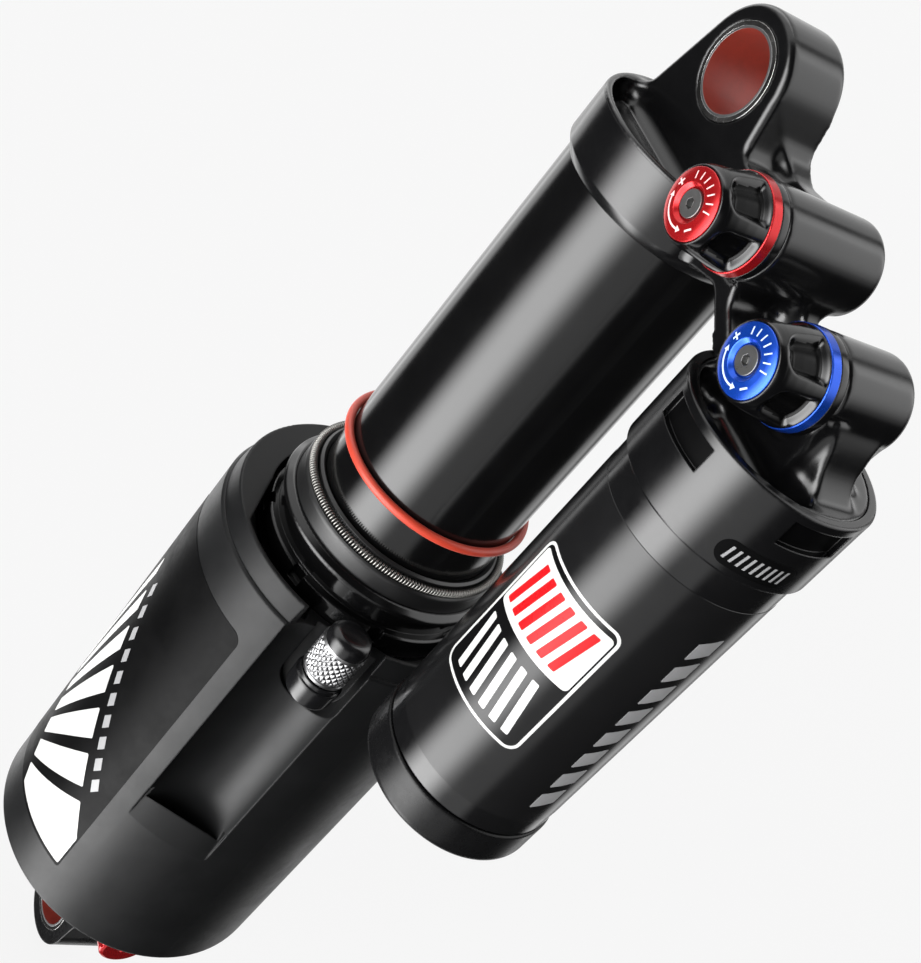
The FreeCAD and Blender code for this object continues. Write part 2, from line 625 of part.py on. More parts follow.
# ------------------------------------------------------------------
# Adjusters on the head
# ------------------------------------------------------------------
def adjuster(prefix, x, z, front):
    at = dict(pos=(x, R_OFF - front, z), **SIDEWAYS)
    f = R_OFF
    blank = turned(prefix + "_knob_blank", [
        (0, f - 1.0), (1.3, f - 1.0), (1.3, f - 6.0), (3.95, f - 6.0, -0.3), (3.95, f + 0.15),
        (D["knob_rad"] + 0.22, f + 0.15, 0.25), (D["knob_rad"] + 0.22, f + 1.6, 0.12), (6.3, f + 1.6), (6.3, f + 3.2),
        (D["knob_rad"] - 0.02, f + 3.2), (D["knob_rad"] - 0.4, f + 6.4, 1.2), (D["knob_face_rad"] + 0.95, f + 9.5, 0.8),
        (D["knob_face_rad"] + 0.25, f + 10.9, 0.15), (D["knob_face_rad"] + 0.06, f + 10.9), (D["knob_face_rad"] + 0.06, f + 10.35),
        (0.9, f + 10.35), (0.9, f + 4.0), (0, f + 4.0),
    ], **at)
    pockets = []
    for k in range(5):
        a = 72.0 * k + 60.0
        # radial pocket: a flat-ended slot with a round end towards the disc
        turn = FreeCAD.Rotation(V(0, 0, 1), a)
        base = doc.addObject("Part::Box", "%s_pocket_box_%d" % (prefix, k))
        base.Length, base.Width, base.Height = 6.0, 5.6, 4.3
        end = doc.addObject("Part::Cylinder", "%s_pocket_end_%d" % (prefix, k))
        end.Radius, end.Height = 2.8, 6.0
        tilt = FreeCAD.Placement(V(0, 0, 0), FreeCAD.Rotation(V(1, 0, 0), 90.0))
        home = FreeCAD.Placement(V(dim(x).value, R_OFF - dim(front).value, dim(z).value), tilt.Rotation)
        base.Placement = home.multiply(FreeCAD.Placement(turn.multVec(V(4.45, -2.8, 0)) + V(0, 0, f + 3.2), turn))
        lay = turn.multiply(FreeCAD.Rotation(V(0, 1, 0), 90.0))
        end.Placement = home.multiply(FreeCAD.Placement(turn.multVec(V(4.45, 0, 0)) + V(0, 0, f + 7.5), lay))
        pockets.append(fuse("%s_pocket_%d" % (prefix, k), [base, end]))
    node(prefix + "_knob", cut(prefix + "_knob", blank, pockets))
    node(prefix + "_knob_ring", turned(prefix + "_knob_ring", [
        (6.3, f + 1.62), (D["knob_rad"] + 0.26, f + 1.62, 0.12), (D["knob_rad"] + 0.1, f + 3.18, 0.15), (6.3, f + 3.18),
    ], **at))
    node(prefix + "_knob_disc", turned(prefix + "_knob_disc", [
        (0.95, f + 10.4), (D["knob_face_rad"], f + 10.4, 0.1), (D["knob_face_rad"], f + 11.0, 0.12),
        (4.2, f + 11.33, 0.45), (2.85, f + 11.58, 0.12), (2.2, f + 11.0, 0.1), (2.2, f + 10.75), (0.95, f + 10.75),
    ], **at))
    screw = turned(prefix + "_screw_blank", [
        (0, f + 6.2), (0.88, f + 6.2, -0.2), (0.88, f + 10.78), (2.0, f + 10.78), (2.0, f + 11.25, 0.12), (0, f + 11.25),
    ], **at)
    socket = doc.addObject("Part::Prism", prefix + "_screw_socket")
    socket.Polygon = 6
    socket.Circumradius = 0.82
    socket.Height = 2.0
    home = FreeCAD.Placement(V(dim(x).value, R_OFF - dim(front).value, dim(z).value), FreeCAD.Rotation(V(1, 0, 0), 90.0))
    socket.Placement = home.multiply(FreeCAD.Placement(V(0, 0, f + 10.2), FreeCAD.Rotation()))
    node(prefix + "_knob_screw", cut(prefix + "_knob_screw", screw, [socket]))
    node(prefix + "_needle", turned(prefix + "_needle", [
        (0, f - 11.85), (0.5, f - 11.85), (1.94, f - 8.95), (1.94, f - 6.9, -0.2), (1.24, f - 6.7), (1.24, f - 1.9, -0.2), (0, f - 1.9),
    ], **at))
    ball = doc.addObject("Part::Sphere", prefix + "_detent_ball")
    ball.Radius = 0.76
    place(ball, (x + 5.6, -front + 0.8, z))
    spring = ring(prefix + "_detent_spring", 0.35, 0.7, f - 3.5, f - 1.6, pos=(x + 5.6, R_OFF - front, z), **SIDEWAYS)
    return ball, spring


reb_ball, reb_spring = adjuster("rebound", D["reb_x"], D["reb_z"], D["reb_front"])
comp_ball, comp_spring = adjuster("compression", D["res_x"], D["comp_z"], D["comp_front"])
node("detent_balls", group("detent_balls", [reb_ball, comp_ball]))
node("detent_springs", group("detent_springs", [reb_spring, comp_spring]))


def plug(tag, x, z, back):
    return turned(tag, [
        (0, 10.0), (3.6, 10.0), (4.0, 10.35), (4.5, 10.35), (4.5, 11.5), (0, 11.5),
    ], pos=(x, back + 10.0, z), **SIDEWAYS)


node("adjuster_bore_plugs", group("adjuster_bore_plugs", [
    plug("rebound_bore_plug", D["reb_x"], D["reb_z"], D["reb_back"]),
    plug("compression_bore_plug", D["res_x"], D["comp_z"], D["comp_back"]),
]))

# travel marker
marker = doc.addObject("Part::Torus", "sag_oring")
marker.Radius1 = (D["tube_rad"] + D["sag_minor"] + 0.02).value
marker.Radius2 = D["sag_minor"].value
bind(marker, "Radius1", D["tube_rad"] + D["sag_minor"] + 0.02)
bind(marker, "Radius2", D["sag_minor"])
place(marker, (0, 0, D["sag_height"]))
node("sag_oring", marker)

# ------------------------------------------------------------------
# Air can
# ------------------------------------------------------------------
FA = math.radians(dim(D["facet_angle"]).value)
FC, FS = math.cos(FA), math.sin(FA)
can_blank = turned("air_can_blank", [
    (D["can_in_rad"], D["can_bottom"]), (D["can_rad"], D["can_bottom"], 1.0),
    (D["can_rad"], D["can_top"], -0.45), (D["can_in_rad"], D["can_top"]),
])
pad_core = cylinder("air_can_pad_core", D["trough_rad"] + 1.0, D["can_top"] - 54.0, (D["trough_axis"] * FC, D["trough_axis"] * FS, 54.0))
pad_valve = box("air_can_pad_valve", (8.0, 15.6, D["can_top"] - 94.0),
                (20.0 * FC + 5.4 * FS, 20.0 * FS - 5.4 * FC, 94.0), (0, 0, 1), math.degrees(FA))
pad_limit = ring("air_can_pad_limit", 21.35, D["can_rad"] - 0.5, 50.0, D["can_top"])
pad = common("air_can_pad", [fuse("air_can_pads", [pad_core, pad_valve]), pad_limit])
can_solid = fuse("air_can_solid", [can_blank, pad])
# concave channel; its lower end wall leans inwards and down
trough_cyl = cylinder("air_can_trough_cyl", D["trough_rad"], 70.0, (D["trough_axis"] * FC, D["trough_axis"] * FS, 50.0))
lean = 48.0
lip_x = 27.7 - 40.0 * math.cos(math.radians(lean))
lip_z = D["panel_lip"].value - 40.0 * math.sin(math.radians(lean))
end_wall = doc.addObject("Part::Box", "air_can_trough_end")
end_wall.Length, end_wall.Width, end_wall.Height = 60.0, 40.0, 40.0
facing = FreeCAD.Rotation(V(0, 0, 1), math.degrees(FA))
tip = FreeCAD.Rotation(V(0, 1, 0), -lean)
end_wall.Placement = FreeCAD.Placement(facing.multVec(V(lip_x, -20.0, lip_z)), facing.multiply(tip)).multiply(
    FreeCAD.Placement(V(0, 0, -40.0), FreeCAD.Rotation()))
trough = cut("air_can_trough", trough_cyl, [end_wall])
# bevel between the lip and the plain lower part
bevel_ring = turned("air_can_bevel_ring", [
    (D["can_rad"], D["panel_low"]), (D["can_rad"] + 3.0, D["panel_low"]), (D["can_rad"] + 3.0, D["panel_lip"] + 1.6),
    (D["can_rad"] - 1.15, D["panel_lip"] + 1.6), (D["can_rad"] - 0.95, D["panel_lip"]),
])
bevel_box = box("air_can_bevel_box", (20.0, D["panel_half"] * 2, 10.0),
                (20.0 * FC + D["panel_half"] * FS, 20.0 * FS - D["panel_half"] * FC, D["panel_low"] - 1.0), (0, 0, 1), math.degrees(FA))
bevel = common("air_can_bevel", [bevel_ring, bevel_box])
# pocket for the valve, milled from outside, with a round lower end
POCKET_C, POCKET_W, POCKET_Z, POCKET_IN = 2.35, 5.85, 103.9, 22.45


def pocket_tool(tag):
    """Round-ended pocket on the valve side, cut from the outside down to a flat back wall."""
    end = doc.addObject("Part::Cylinder", tag + "_end")
    end.Radius, end.Height = POCKET_W, 20.0
    side = V(-FS, FC, 0)
    out = V(FC, FS, 0)
    start = out * POCKET_IN + side * POCKET_C + V(0, 0, POCKET_Z)
    end.Placement = FreeCAD.Placement(start, FreeCAD.Rotation(V(0, 0, 1), out))
    slot = box(tag + "_slot", (20.0, POCKET_W * 2, 30.0), (
        out.x * POCKET_IN + side.x * (POCKET_C - POCKET_W), out.y * POCKET_IN + side.y * (POCKET_C - POCKET_W), POCKET_Z),
        (0, 0, 1), math.degrees(FA))
    return fuse(tag, [end, slot])


port = doc.addObject("Part::Cylinder", "air_can_port")
port.Radius, port.Height = 2.3, 8.0
VA = math.atan2(D["valve_y"].value, D["valve_x"].value)
port.Placement = FreeCAD.Placement(V(20.0 * math.cos(VA), 20.0 * math.sin(VA), 106.2), FreeCAD.Rotation(V(0, 0, 1), V(math.cos(VA), math.sin(VA), 0)))
can_cut = cut("air_can_cut", can_solid, [trough, bevel, pocket_tool("air_can_pocket"), port])
doc.recompute()


def channel_edge(p, side):
    ang = math.degrees(math.atan2(p.y, p.x)) - math.degrees(FA)
    return abs(away_from_axis(p) - D["can_rad"].value) < 0.25 and side * ang > 14 and side * ang < 19


left_edges = [n for n in edges_where(can_cut, lambda p: channel_edge(p, -1)) if can_cut.Shape.Edges[n - 1].Length > 30]
air_can = round_edges("air_can_rounded", can_cut, [(n, 3.0) for n in left_edges]) if left_edges else can_cut
print("channel edges", left_edges, air_can.Name)
node("air_can", air_can)

# shoulder ring with a wide slot towards the valve
ring_blank = turned("can_ring_blank", [
    (0, D["can_top"] - 4.0), (D["can_in_rad"], D["can_top"] - 4.0), (D["can_in_rad"], D["can_top"]),
    (D["ring_rad"], D["can_top"]), (D["ring_top_rad"], D["ring_top"], 0.35), (0, D["ring_top"]),
])
ring_hole = cylinder("can_ring_hole", 21.35, 20.0, (0, 0, D["can_top"] - 6.0))
ring_well = cylinder("can_ring_well", 21.9, 20.0, (0, 0, D["can_top"] - 1.6))
well_slot = box("can_ring_slot", (40.0, 43.6, 20.0), (21.8 * FS, -21.8 * FC, D["can_top"] - 1.6), (0, 0, 1), math.degrees(FA))
well_limit = cylinder("can_ring_slot_limit", D["ring_top_rad"] - 0.75, 20.0, (0, 0, D["can_top"] - 1.6))
ring_slot = common("can_ring_slot_cut", [well_slot, well_limit])
ring_pocket = fuse("can_ring_pocket", [
    pocket_tool("can_ring_valve_pocket"),
    cylinder("can_ring_trough", D["trough_rad"], 30.0, (D["trough_axis"] * FC, D["trough_axis"] * FS, 102.5)),
    common("can_ring_pad_room", [
        fuse("can_ring_pad_rooms", [
            box("can_ring_pad_box", (12.0, 15.8, 11.6), (19.0 * FC + 5.5 * FS, 19.0 * FS - 5.5 * FC, 102.4), (0, 0, 1), math.degrees(FA)),
            cylinder("can_ring_core_room", D["trough_rad"] + 1.1, 11.5, (D["trough_axis"] * FC, D["trough_axis"] * FS, 102.45)),
        ]),
        cylinder("can_ring_pad_limit", D["can_in_rad"] + 0.2, 11.4, (0, 0, D["can_top"] - 11.4)),
    ]),
])
node("can_top_ring", cut("can_top_ring", ring_blank, [ring_hole, ring_well, ring_slot, ring_pocket]))

node("air_can_sleeve", ring("air_can_sleeve", D["sleeve_in_rad"], D["sleeve_rad"], 30.5, 113.0))
node("sleeve_seat_oring", ring("sleeve_seat_oring", D["sleeve_rad"], D["sleeve_rad"] + 1.0, 31.0, 32.4))

# ------------------------------------------------------------------
# Seal head, wiper and its garter spring
# ------------------------------------------------------------------
ft = D["flange_top"]
head_blank = turned("seal_head_blank", [
    (18.0, 111.0), (19.85, 111.0, -0.2), (19.85, 113.0), (21.25, 113.0), (21.25, 117.4, -0.3), (19.7, 117.4),
    (19.7, ft - 2.1), (D["flange_rad"], ft - 1.6, 0.12), (D["flange_rad"], ft - 0.9, 0.3), (D["flange_rad"] - 1.2, ft, 0.2),
    (19.8, ft), (19.8, ft - 1.9), (17.3, ft - 1.9), (17.3, ft - 4.3), (18.0, ft - 4.3),
])
notches = [box("seal_head_notch_%d" % k, (6.0, 2.6, 6.0),
               (20.3 * math.cos(math.radians(45 * k + 28)) + 1.3 * math.sin(math.radians(45 * k + 28)),
                20.3 * math.sin(math.radians(45 * k + 28)) - 1.3 * math.cos(math.radians(45 * k + 28)), 114.8),
               (0, 0, 1), 45.0 * k + 28.0) for k in range(8)]
node("seal_head", cut("seal_head", head_blank, notches))
node("seal_head_bushing", ring("seal_head_bushing", D["tube_rad"] + 0.05, 18.0, 112.0, 119.0))
node("wiper_seal", turned("wiper_seal", [
    (D["tube_rad"] + 0.35, ft - 1.8), (19.75, ft - 1.8), (19.75, ft + 2.9, 0.3), (19.35, ft + 3.4),
    (D["garter_major"] - D["garter_minor"] - 0.06, ft + 3.4), (D["garter_major"] - D["garter_minor"] - 0.1, D["wiper_top"] - 0.4),
    (D["tube_rad"] + 0.75, D["wiper_top"]), (D["tube_rad"] + 0.06, D["wiper_top"] - 0.5), (D["tube_rad"] + 0.35, D["wiper_top"] - 2.2),
]))
garter = doc.addObject("Part::Torus", "garter_spring")
garter.Radius1 = D["garter_major"].value
garter.Radius2 = D["garter_minor"].value
bind(garter, "Radius1", D["garter_major"])
bind(garter, "Radius2", D["garter_minor"])
place(garter, (0, 0, D["garter_height"]))
node("garter_spring", garter)

# ------------------------------------------------------------------
# Lower mount, shaft and main piston
# ------------------------------------------------------------------
low_barrel = cross("low_eyelet_barrel", D["eyelet_rad"], 0, 0, -D["eyelet_half"], D["eyelet_half"])
low_plate = slab("low_eyelet_plate", [
    (-(D["eyelet_rad"]), 0), (D["eyelet_rad"], 0), (D["eyelet_rad"] + 1.6, 12.0), (13.5, 20.0), (13.5, D["can_bottom"] + 1.0),
    (-13.5, D["can_bottom"] + 1.0), (-13.5, 20.0), (-(D["eyelet_rad"]) - 1.6, 12.0),
], -D["eyelet_half"], D["eyelet_half"])
low_turned = turned("low_flange", [
    (0, 10.5), (8.0, 10.5, 1.5), (11.5, 17.0), (14.5, D["can_bottom"]), (D["can_rad"] - 2.6, D["can_bottom"], -0.6),
    (D["can_in_rad"], D["can_bottom"] + 1.6), (D["can_in_rad"], 30.5, -0.4), (24.0, 30.5), (24.0, 34.0, -0.3),
    (D["sleeve_rad"] + 1.02, 34.0), (D["sleeve_rad"] + 1.02, 30.9), (D["sleeve_rad"], 30.9), (D["sleeve_rad"], 30.5), (0, 30.5),
])
low_knob_z = D["low_knob_z"]
low_boss = cylinder("low_knob_boss", 5.9, 8.2, (6.0, 0, low_knob_z), (0, 1, 0), 90.0)
low_arm = slab("low_knob_arm", [(8.0, 7.6), (13.9, 7.9), (13.9, 18.6), (12.5, 24.0), (8.0, 24.0)], -4.6, 4.6)
low_solid = fuse("low_mount_solid", [low_barrel, low_plate, low_turned, low_boss, low_arm])
node("lower_eyelet_mount", cut("lower_eyelet_mount", low_solid, [
    cross("low_eyelet_bore", D["bush_rad"], 0, 0, -9.0, 9.0),
    cylinder("low_shaft_bore", D["shaft_rad"], 20.0, (0, 0, 19.0)),
    cylinder("low_rod_bore", D["rod_bore_rad"], 6.0, (0, 0, low_knob_z)),
    cylinder("low_stem_bore", 2.55, 17.0, (-1.5, 0, low_knob_z), (0, 1, 0), 90.0),
]))
shaft_bot = 19.0
node("damper_shaft", turned("damper_shaft", [
    (D["rod_bore_rad"], shaft_bot), (D["shaft_rad"], shaft_bot), (D["shaft_rad"], 112.0, -0.3),
    (3.0, 112.0), (3.0, 125.6, -0.3), (D["rod_bore_rad"], 125.6),
]))
mp_blank = turned("main_piston_blank", [
    (3.0, 113.6), (5.0, 113.6), (5.0, 114.2), (D["tube_in_rad"] - 0.12, 114.2, -0.3), (D["tube_in_rad"] - 0.12, 115.8),
    (D["tube_in_rad"] - 0.8, 115.8), (D["tube_in_rad"] - 0.8, 119.2), (D["tube_in_rad"] - 0.12, 119.2),
    (D["tube_in_rad"] - 0.12, 120.8, -0.3), (5.0, 120.8), (5.0, 121.4), (3.0, 121.4),
])
mp_ports = [cylinder("main_piston_port_%d" % k, 1.6, 14.0,
                     (9.2 * math.cos(math.radians(45 * k)), 9.2 * math.sin(math.radians(45 * k)), 110.0)) for k in range(8)]
node("main_piston", cut("main_piston", mp_blank, mp_ports))
node("main_piston_band", ring("main_piston_band", D["tube_in_rad"] - 0.8, D["tube_in_rad"] - 0.04, 115.9, 119.1))
node("compression_shims", group("compression_shims", [
    ring("compression_shim_%d" % k, 3.0, r, 113.6 - 0.4 * (k + 1) + 0.02, 113.6 - 0.4 * k) for k, r in enumerate((11.8, 10.0, 8.0, 6.0))]))
node("rebound_shims", group("rebound_shims", [
    ring("rebound_shim_%d" % k, 3.0, r, 121.4 + 0.4 * k, 121.4 + 0.4 * (k + 1) - 0.02) for k, r in enumerate((11.0, 8.6, 6.2))]))
nut_blank = hexagon("piston_nut_blank", 5.6, 2.8, (0, 0, 122.6))
node("piston_nut", cut("piston_nut", nut_blank, [cylinder("piston_nut_bore", 3.0, 6.0, (0, 0, 121.0))]))
node("bottom_out_bumper", turned("bottom_out_bumper", [
    (D["shaft_rad"] + 0.6, 30.5), (13.4, 30.5), (12.6, 34.6, 0.6), (D["shaft_rad"] + 1.4, 34.6, 0.6),
]))
node("metering_rod", turned("metering_rod", [
    (0, low_knob_z + 2.0), (0.9, low_knob_z + 2.0), (D["rod_rad"], low_knob_z + 2.9), (D["rod_rad"], 121.5), (0.7, 123.4), (0, 123.4),
]))
# lower rebound adjuster: its cone lifts the metering rod
TO_X = dict(axis=(0, 1, 0), angle=90.0)  # local +Z becomes +X
low_blank = turned("lower_rebound_knob_blank", [
    (0, 8.6), (0.5, 8.6), (1.85, 11.1), (2.5, 11.4), (2.5, 24.3), (4.0, 24.3), (4.0, 25.0),
    (5.0, 25.4, 0.3), (5.0, 29.4, 0.5), (4.2, 29.9), (1.3, 29.9), (0.9, 29.3), (0, 29.3),
], pos=(-10.0, 0, low_knob_z), **TO_X)
flutes = []
for k in range(12):
    a = math.radians(30.0 * k)
    flutes.append(cylinder("low_knob_flute_%d" % k, 0.7, 6.0,
                           (15.6, 5.35 * math.sin(a), low_knob_z + 5.35 * math.cos(a)), (0, 1, 0), 90.0))
node("lower_rebound_knob", cut("lower_rebound_knob", low_blank, flutes))

# ------------------------------------------------------------------
# Air valve
# ------------------------------------------------------------------
AT_VALVE = dict(pos=(D["valve_x"], D["valve_y"], 0))
vb = D["valve_base"]
stem_body = turned("valve_stem_body", [
    (0, vb - 5.4), (4.3, vb - 5.4, 0.9), (4.5, vb - 1.2, 0.3), (4.1, vb - 0.9), (4.1, vb - 0.15, 0.1), (2.9, vb - 0.15),
    (2.9, vb + 7.4, -0.4), (0.9, vb + 7.4), (0.9, vb - 4.0), (0, vb - 4.0),
], **AT_VALVE)
spigot = doc.addObject("Part::Cylinder", "valve_stem_spigot")
spigot.Radius, spigot.Height = 2.3, 3.6
spigot.Placement = FreeCAD.Placement(V(21.4 * math.cos(VA), 21.4 * math.sin(VA), 106.2), FreeCAD.Rotation(V(0, 0, 1), V(math.cos(VA), math.sin(VA), 0)))
drill = doc.addObject("Part::Cylinder", "valve_stem_drill")
drill.Radius, drill.Height = 0.8, 6.0
drill.Placement = FreeCAD.Placement(V(21.0 * math.cos(VA), 21.0 * math.sin(VA), 106.2), FreeCAD.Rotation(V(0, 0, 1), V(math.cos(VA), math.sin(VA), 0)))
node("valve_stem", cut("valve_stem", fuse("valve_stem_solid", [stem_body, spigot]), [drill]))
node("valve_core", turned("valve_core", [
    (0, vb - 1.8), (0.84, vb - 1.8, -0.2), (0.84, vb + 6.4, -0.2), (0, vb + 6.4),
], **AT_VALVE))
node("valve_cap", turned("valve_cap", [
    (2.96, vb), (D["valve_cap_rad"] - 0.2, vb, 0.2), (D["valve_cap_rad"] - 0.2, vb + 0.7), (D["valve_cap_rad"], vb + 0.9),
    (D["valve_cap_rad"], vb + D["valve_cap_len"] - 3.0, 0.2), (D["valve_cap_rad"] - 0.5, vb + D["valve_cap_len"] - 0.8, 0.5),
    (D["valve_cap_rad"] - 1.6, vb + D["valve_cap_len"], 0.5), (0, vb + D["valve_cap_len"]),
    (0, vb + 8.4), (2.96, vb + 8.4),
], **AT_VALVE))

# ------------------------------------------------------------------
# Check and write
# ------------------------------------------------------------------
doc.recompute()
for obj in doc.Objects:
    if any(word in ("Invalid", "Error") for word in obj.State):
        raise RuntimeError("object failed: %s %s" % (obj.Name, obj.State))
if len(made) > 60:
    raise RuntimeError("too many nodes: %d" % len(made))
for name, obj in made.items():
    shape = obj.Shape
    if shape.isNull() or not shape.isValid() or not shape.Solids:
        raise RuntimeError("bad shape: %s" % name)
    shape.exportStep("parts/%s.step" % name)
    print("%-26s solids %d  volume %.1f" % (name, len(shape.Solids), shape.Volume))
print("nodes", len(made))
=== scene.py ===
import json
import math

import bmesh
import bpy
import numpy as np
import openvdb
from mathutils import Matrix, Vector


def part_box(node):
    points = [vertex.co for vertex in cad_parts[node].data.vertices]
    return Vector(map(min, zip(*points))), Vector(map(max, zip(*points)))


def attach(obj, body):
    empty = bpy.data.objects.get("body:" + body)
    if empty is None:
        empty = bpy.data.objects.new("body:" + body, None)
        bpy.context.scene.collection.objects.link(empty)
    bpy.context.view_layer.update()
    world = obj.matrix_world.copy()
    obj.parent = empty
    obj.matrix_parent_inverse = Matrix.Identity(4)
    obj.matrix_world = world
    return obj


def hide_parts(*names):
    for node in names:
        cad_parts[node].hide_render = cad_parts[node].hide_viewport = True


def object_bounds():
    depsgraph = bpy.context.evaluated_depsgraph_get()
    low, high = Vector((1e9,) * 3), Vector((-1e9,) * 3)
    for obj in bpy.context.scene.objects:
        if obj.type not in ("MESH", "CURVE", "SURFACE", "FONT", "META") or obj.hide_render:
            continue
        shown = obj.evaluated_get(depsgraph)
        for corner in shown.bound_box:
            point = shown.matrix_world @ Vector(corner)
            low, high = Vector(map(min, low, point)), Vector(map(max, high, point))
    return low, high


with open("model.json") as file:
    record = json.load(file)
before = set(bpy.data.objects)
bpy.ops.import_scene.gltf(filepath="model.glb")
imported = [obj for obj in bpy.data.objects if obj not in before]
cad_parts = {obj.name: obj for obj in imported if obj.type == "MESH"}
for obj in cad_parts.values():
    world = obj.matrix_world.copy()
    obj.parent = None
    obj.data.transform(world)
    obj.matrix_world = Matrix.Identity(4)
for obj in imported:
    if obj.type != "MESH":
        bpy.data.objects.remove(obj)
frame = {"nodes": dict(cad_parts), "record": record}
bpy.context.view_layer.update()
nodes = frame["nodes"]
MM = 0.001
TAU = 2 * math.pi


# ---------------------------------------------------------------- node materials
class Net:
    """A small helper that writes shader nodes."""

    def __init__(self, name):
        self.mat = bpy.data.materials.new(name)
        self.mat.use_nodes = True
        self.t = self.mat.node_tree
        self.t.nodes.clear()
        self.out = self.add("ShaderNodeOutputMaterial")
        self.bsdf = self.add("ShaderNodeBsdfPrincipled")
        self.t.links.new(self.bsdf.outputs[0], self.out.inputs[0])
        self.coord = self.add("ShaderNodeTexCoord").outputs["Object"]

    def add(self, kind, **props):
        n = self.t.nodes.new(kind)
        for k, v in props.items():
            setattr(n, k, v)
        return n

    def put(self, socket, value):
        if isinstance(value, bpy.types.NodeSocket):
            self.t.links.new(value, socket)
        elif isinstance(value, (tuple, list)) and len(value) == 3 and socket.type == "RGBA":
            socket.default_value = (*value, 1)
        else:
            socket.default_value = value

    def math(self, op, a, b=0.0, c=0.0, clamp=False):
        n = self.add("ShaderNodeMath", operation=op, use_clamp=clamp)
        self.put(n.inputs[0], a)
        self.put(n.inputs[1], b)
        self.put(n.inputs[2], c)
        return n.outputs[0]

    def vec(self, op, a, b=None, scale=None):
        n = self.add("ShaderNodeVectorMath", operation=op)
        self.put(n.inputs[0], a)
        if b is not None:
            self.put(n.inputs[1], b)
        if scale is not None:
            self.put(n.inputs["Scale"], scale)
        return n.outputs["Value"] if op in ("DOT_PRODUCT", "LENGTH") else n.outputs[0]

    def xyz(self, v=None):
        n = self.add("ShaderNodeSeparateXYZ")
        self.put(n.inputs[0], v or self.coord)
        return n.outputs

    def join(self, x, y, z):
        n = self.add("ShaderNodeCombineXYZ")
        for s, v in zip(n.inputs, (x, y, z)):
            self.put(s, v)
        return n.outputs[0]

    def noise(self, per_mm, detail=3.0, rough=0.55, stretch=(1, 1, 1), shift=0.0):
        m = self.add("ShaderNodeMapping")
        self.put(m.inputs["Vector"], self.coord)
        m.inputs["Scale"].default_value = [s * 1000 for s in stretch]
        m.inputs["Location"].default_value = (shift, shift * 0.7, -shift)
        n = self.add("ShaderNodeTexNoise")
        self.put(n.inputs["Vector"], m.outputs[0])
        n.inputs["Scale"].default_value = per_mm
        n.inputs["Detail"].default_value = detail
        n.inputs["Roughness"].default_value = rough
        return n.outputs[0]

    def span(self, v, lo, hi, to_lo=0.0, to_hi=1.0, smooth=False):
        n = self.add("ShaderNodeMapRange", clamp=True)
        if smooth:
            n.interpolation_type = "SMOOTHSTEP"
        self.put(n.inputs[0], v)
        for i, x in enumerate((lo, hi, to_lo, to_hi)):
            self.put(n.inputs[i + 1], x)
        return n.outputs[0]

    def mix(self, f, a, b):
        n = self.add("ShaderNodeMix", data_type="RGBA")
        self.put(n.inputs[0], f)
        self.put(n.inputs[6], a)
        self.put(n.inputs[7], b)
        return n.outputs[2]

    def lerp(self, f, a, b):
        n = self.add("ShaderNodeMix", data_type="FLOAT")
        self.put(n.inputs[0], f)
        self.put(n.inputs[2], a)
        self.put(n.inputs[3], b)
        return n.outputs[0]

    def bump(self, height, strength, dist_mm, normal=None):
        n = self.add("ShaderNodeBump")
        self.put(n.inputs["Height"], height)
        n.inputs["Strength"].default_value = strength
        n.inputs["Distance"].default_value = dist_mm * MM
        if normal is not None:
            self.put(n.inputs["Normal"], normal)
        return n.outputs[0]

    def edges(self, radius_mm, samples=4):
        """(rounded normal, mask that is 1 on edges)"""
        b = self.add("ShaderNodeBevel", samples=samples)
        b.inputs["Radius"].default_value = radius_mm * MM
        g = self.add("ShaderNodeNewGeometry").outputs["Normal"]
        d = self.vec("DOT_PRODUCT", b.outputs[0], g)
        return b.outputs[0], self.span(d, 0.995, 0.86)


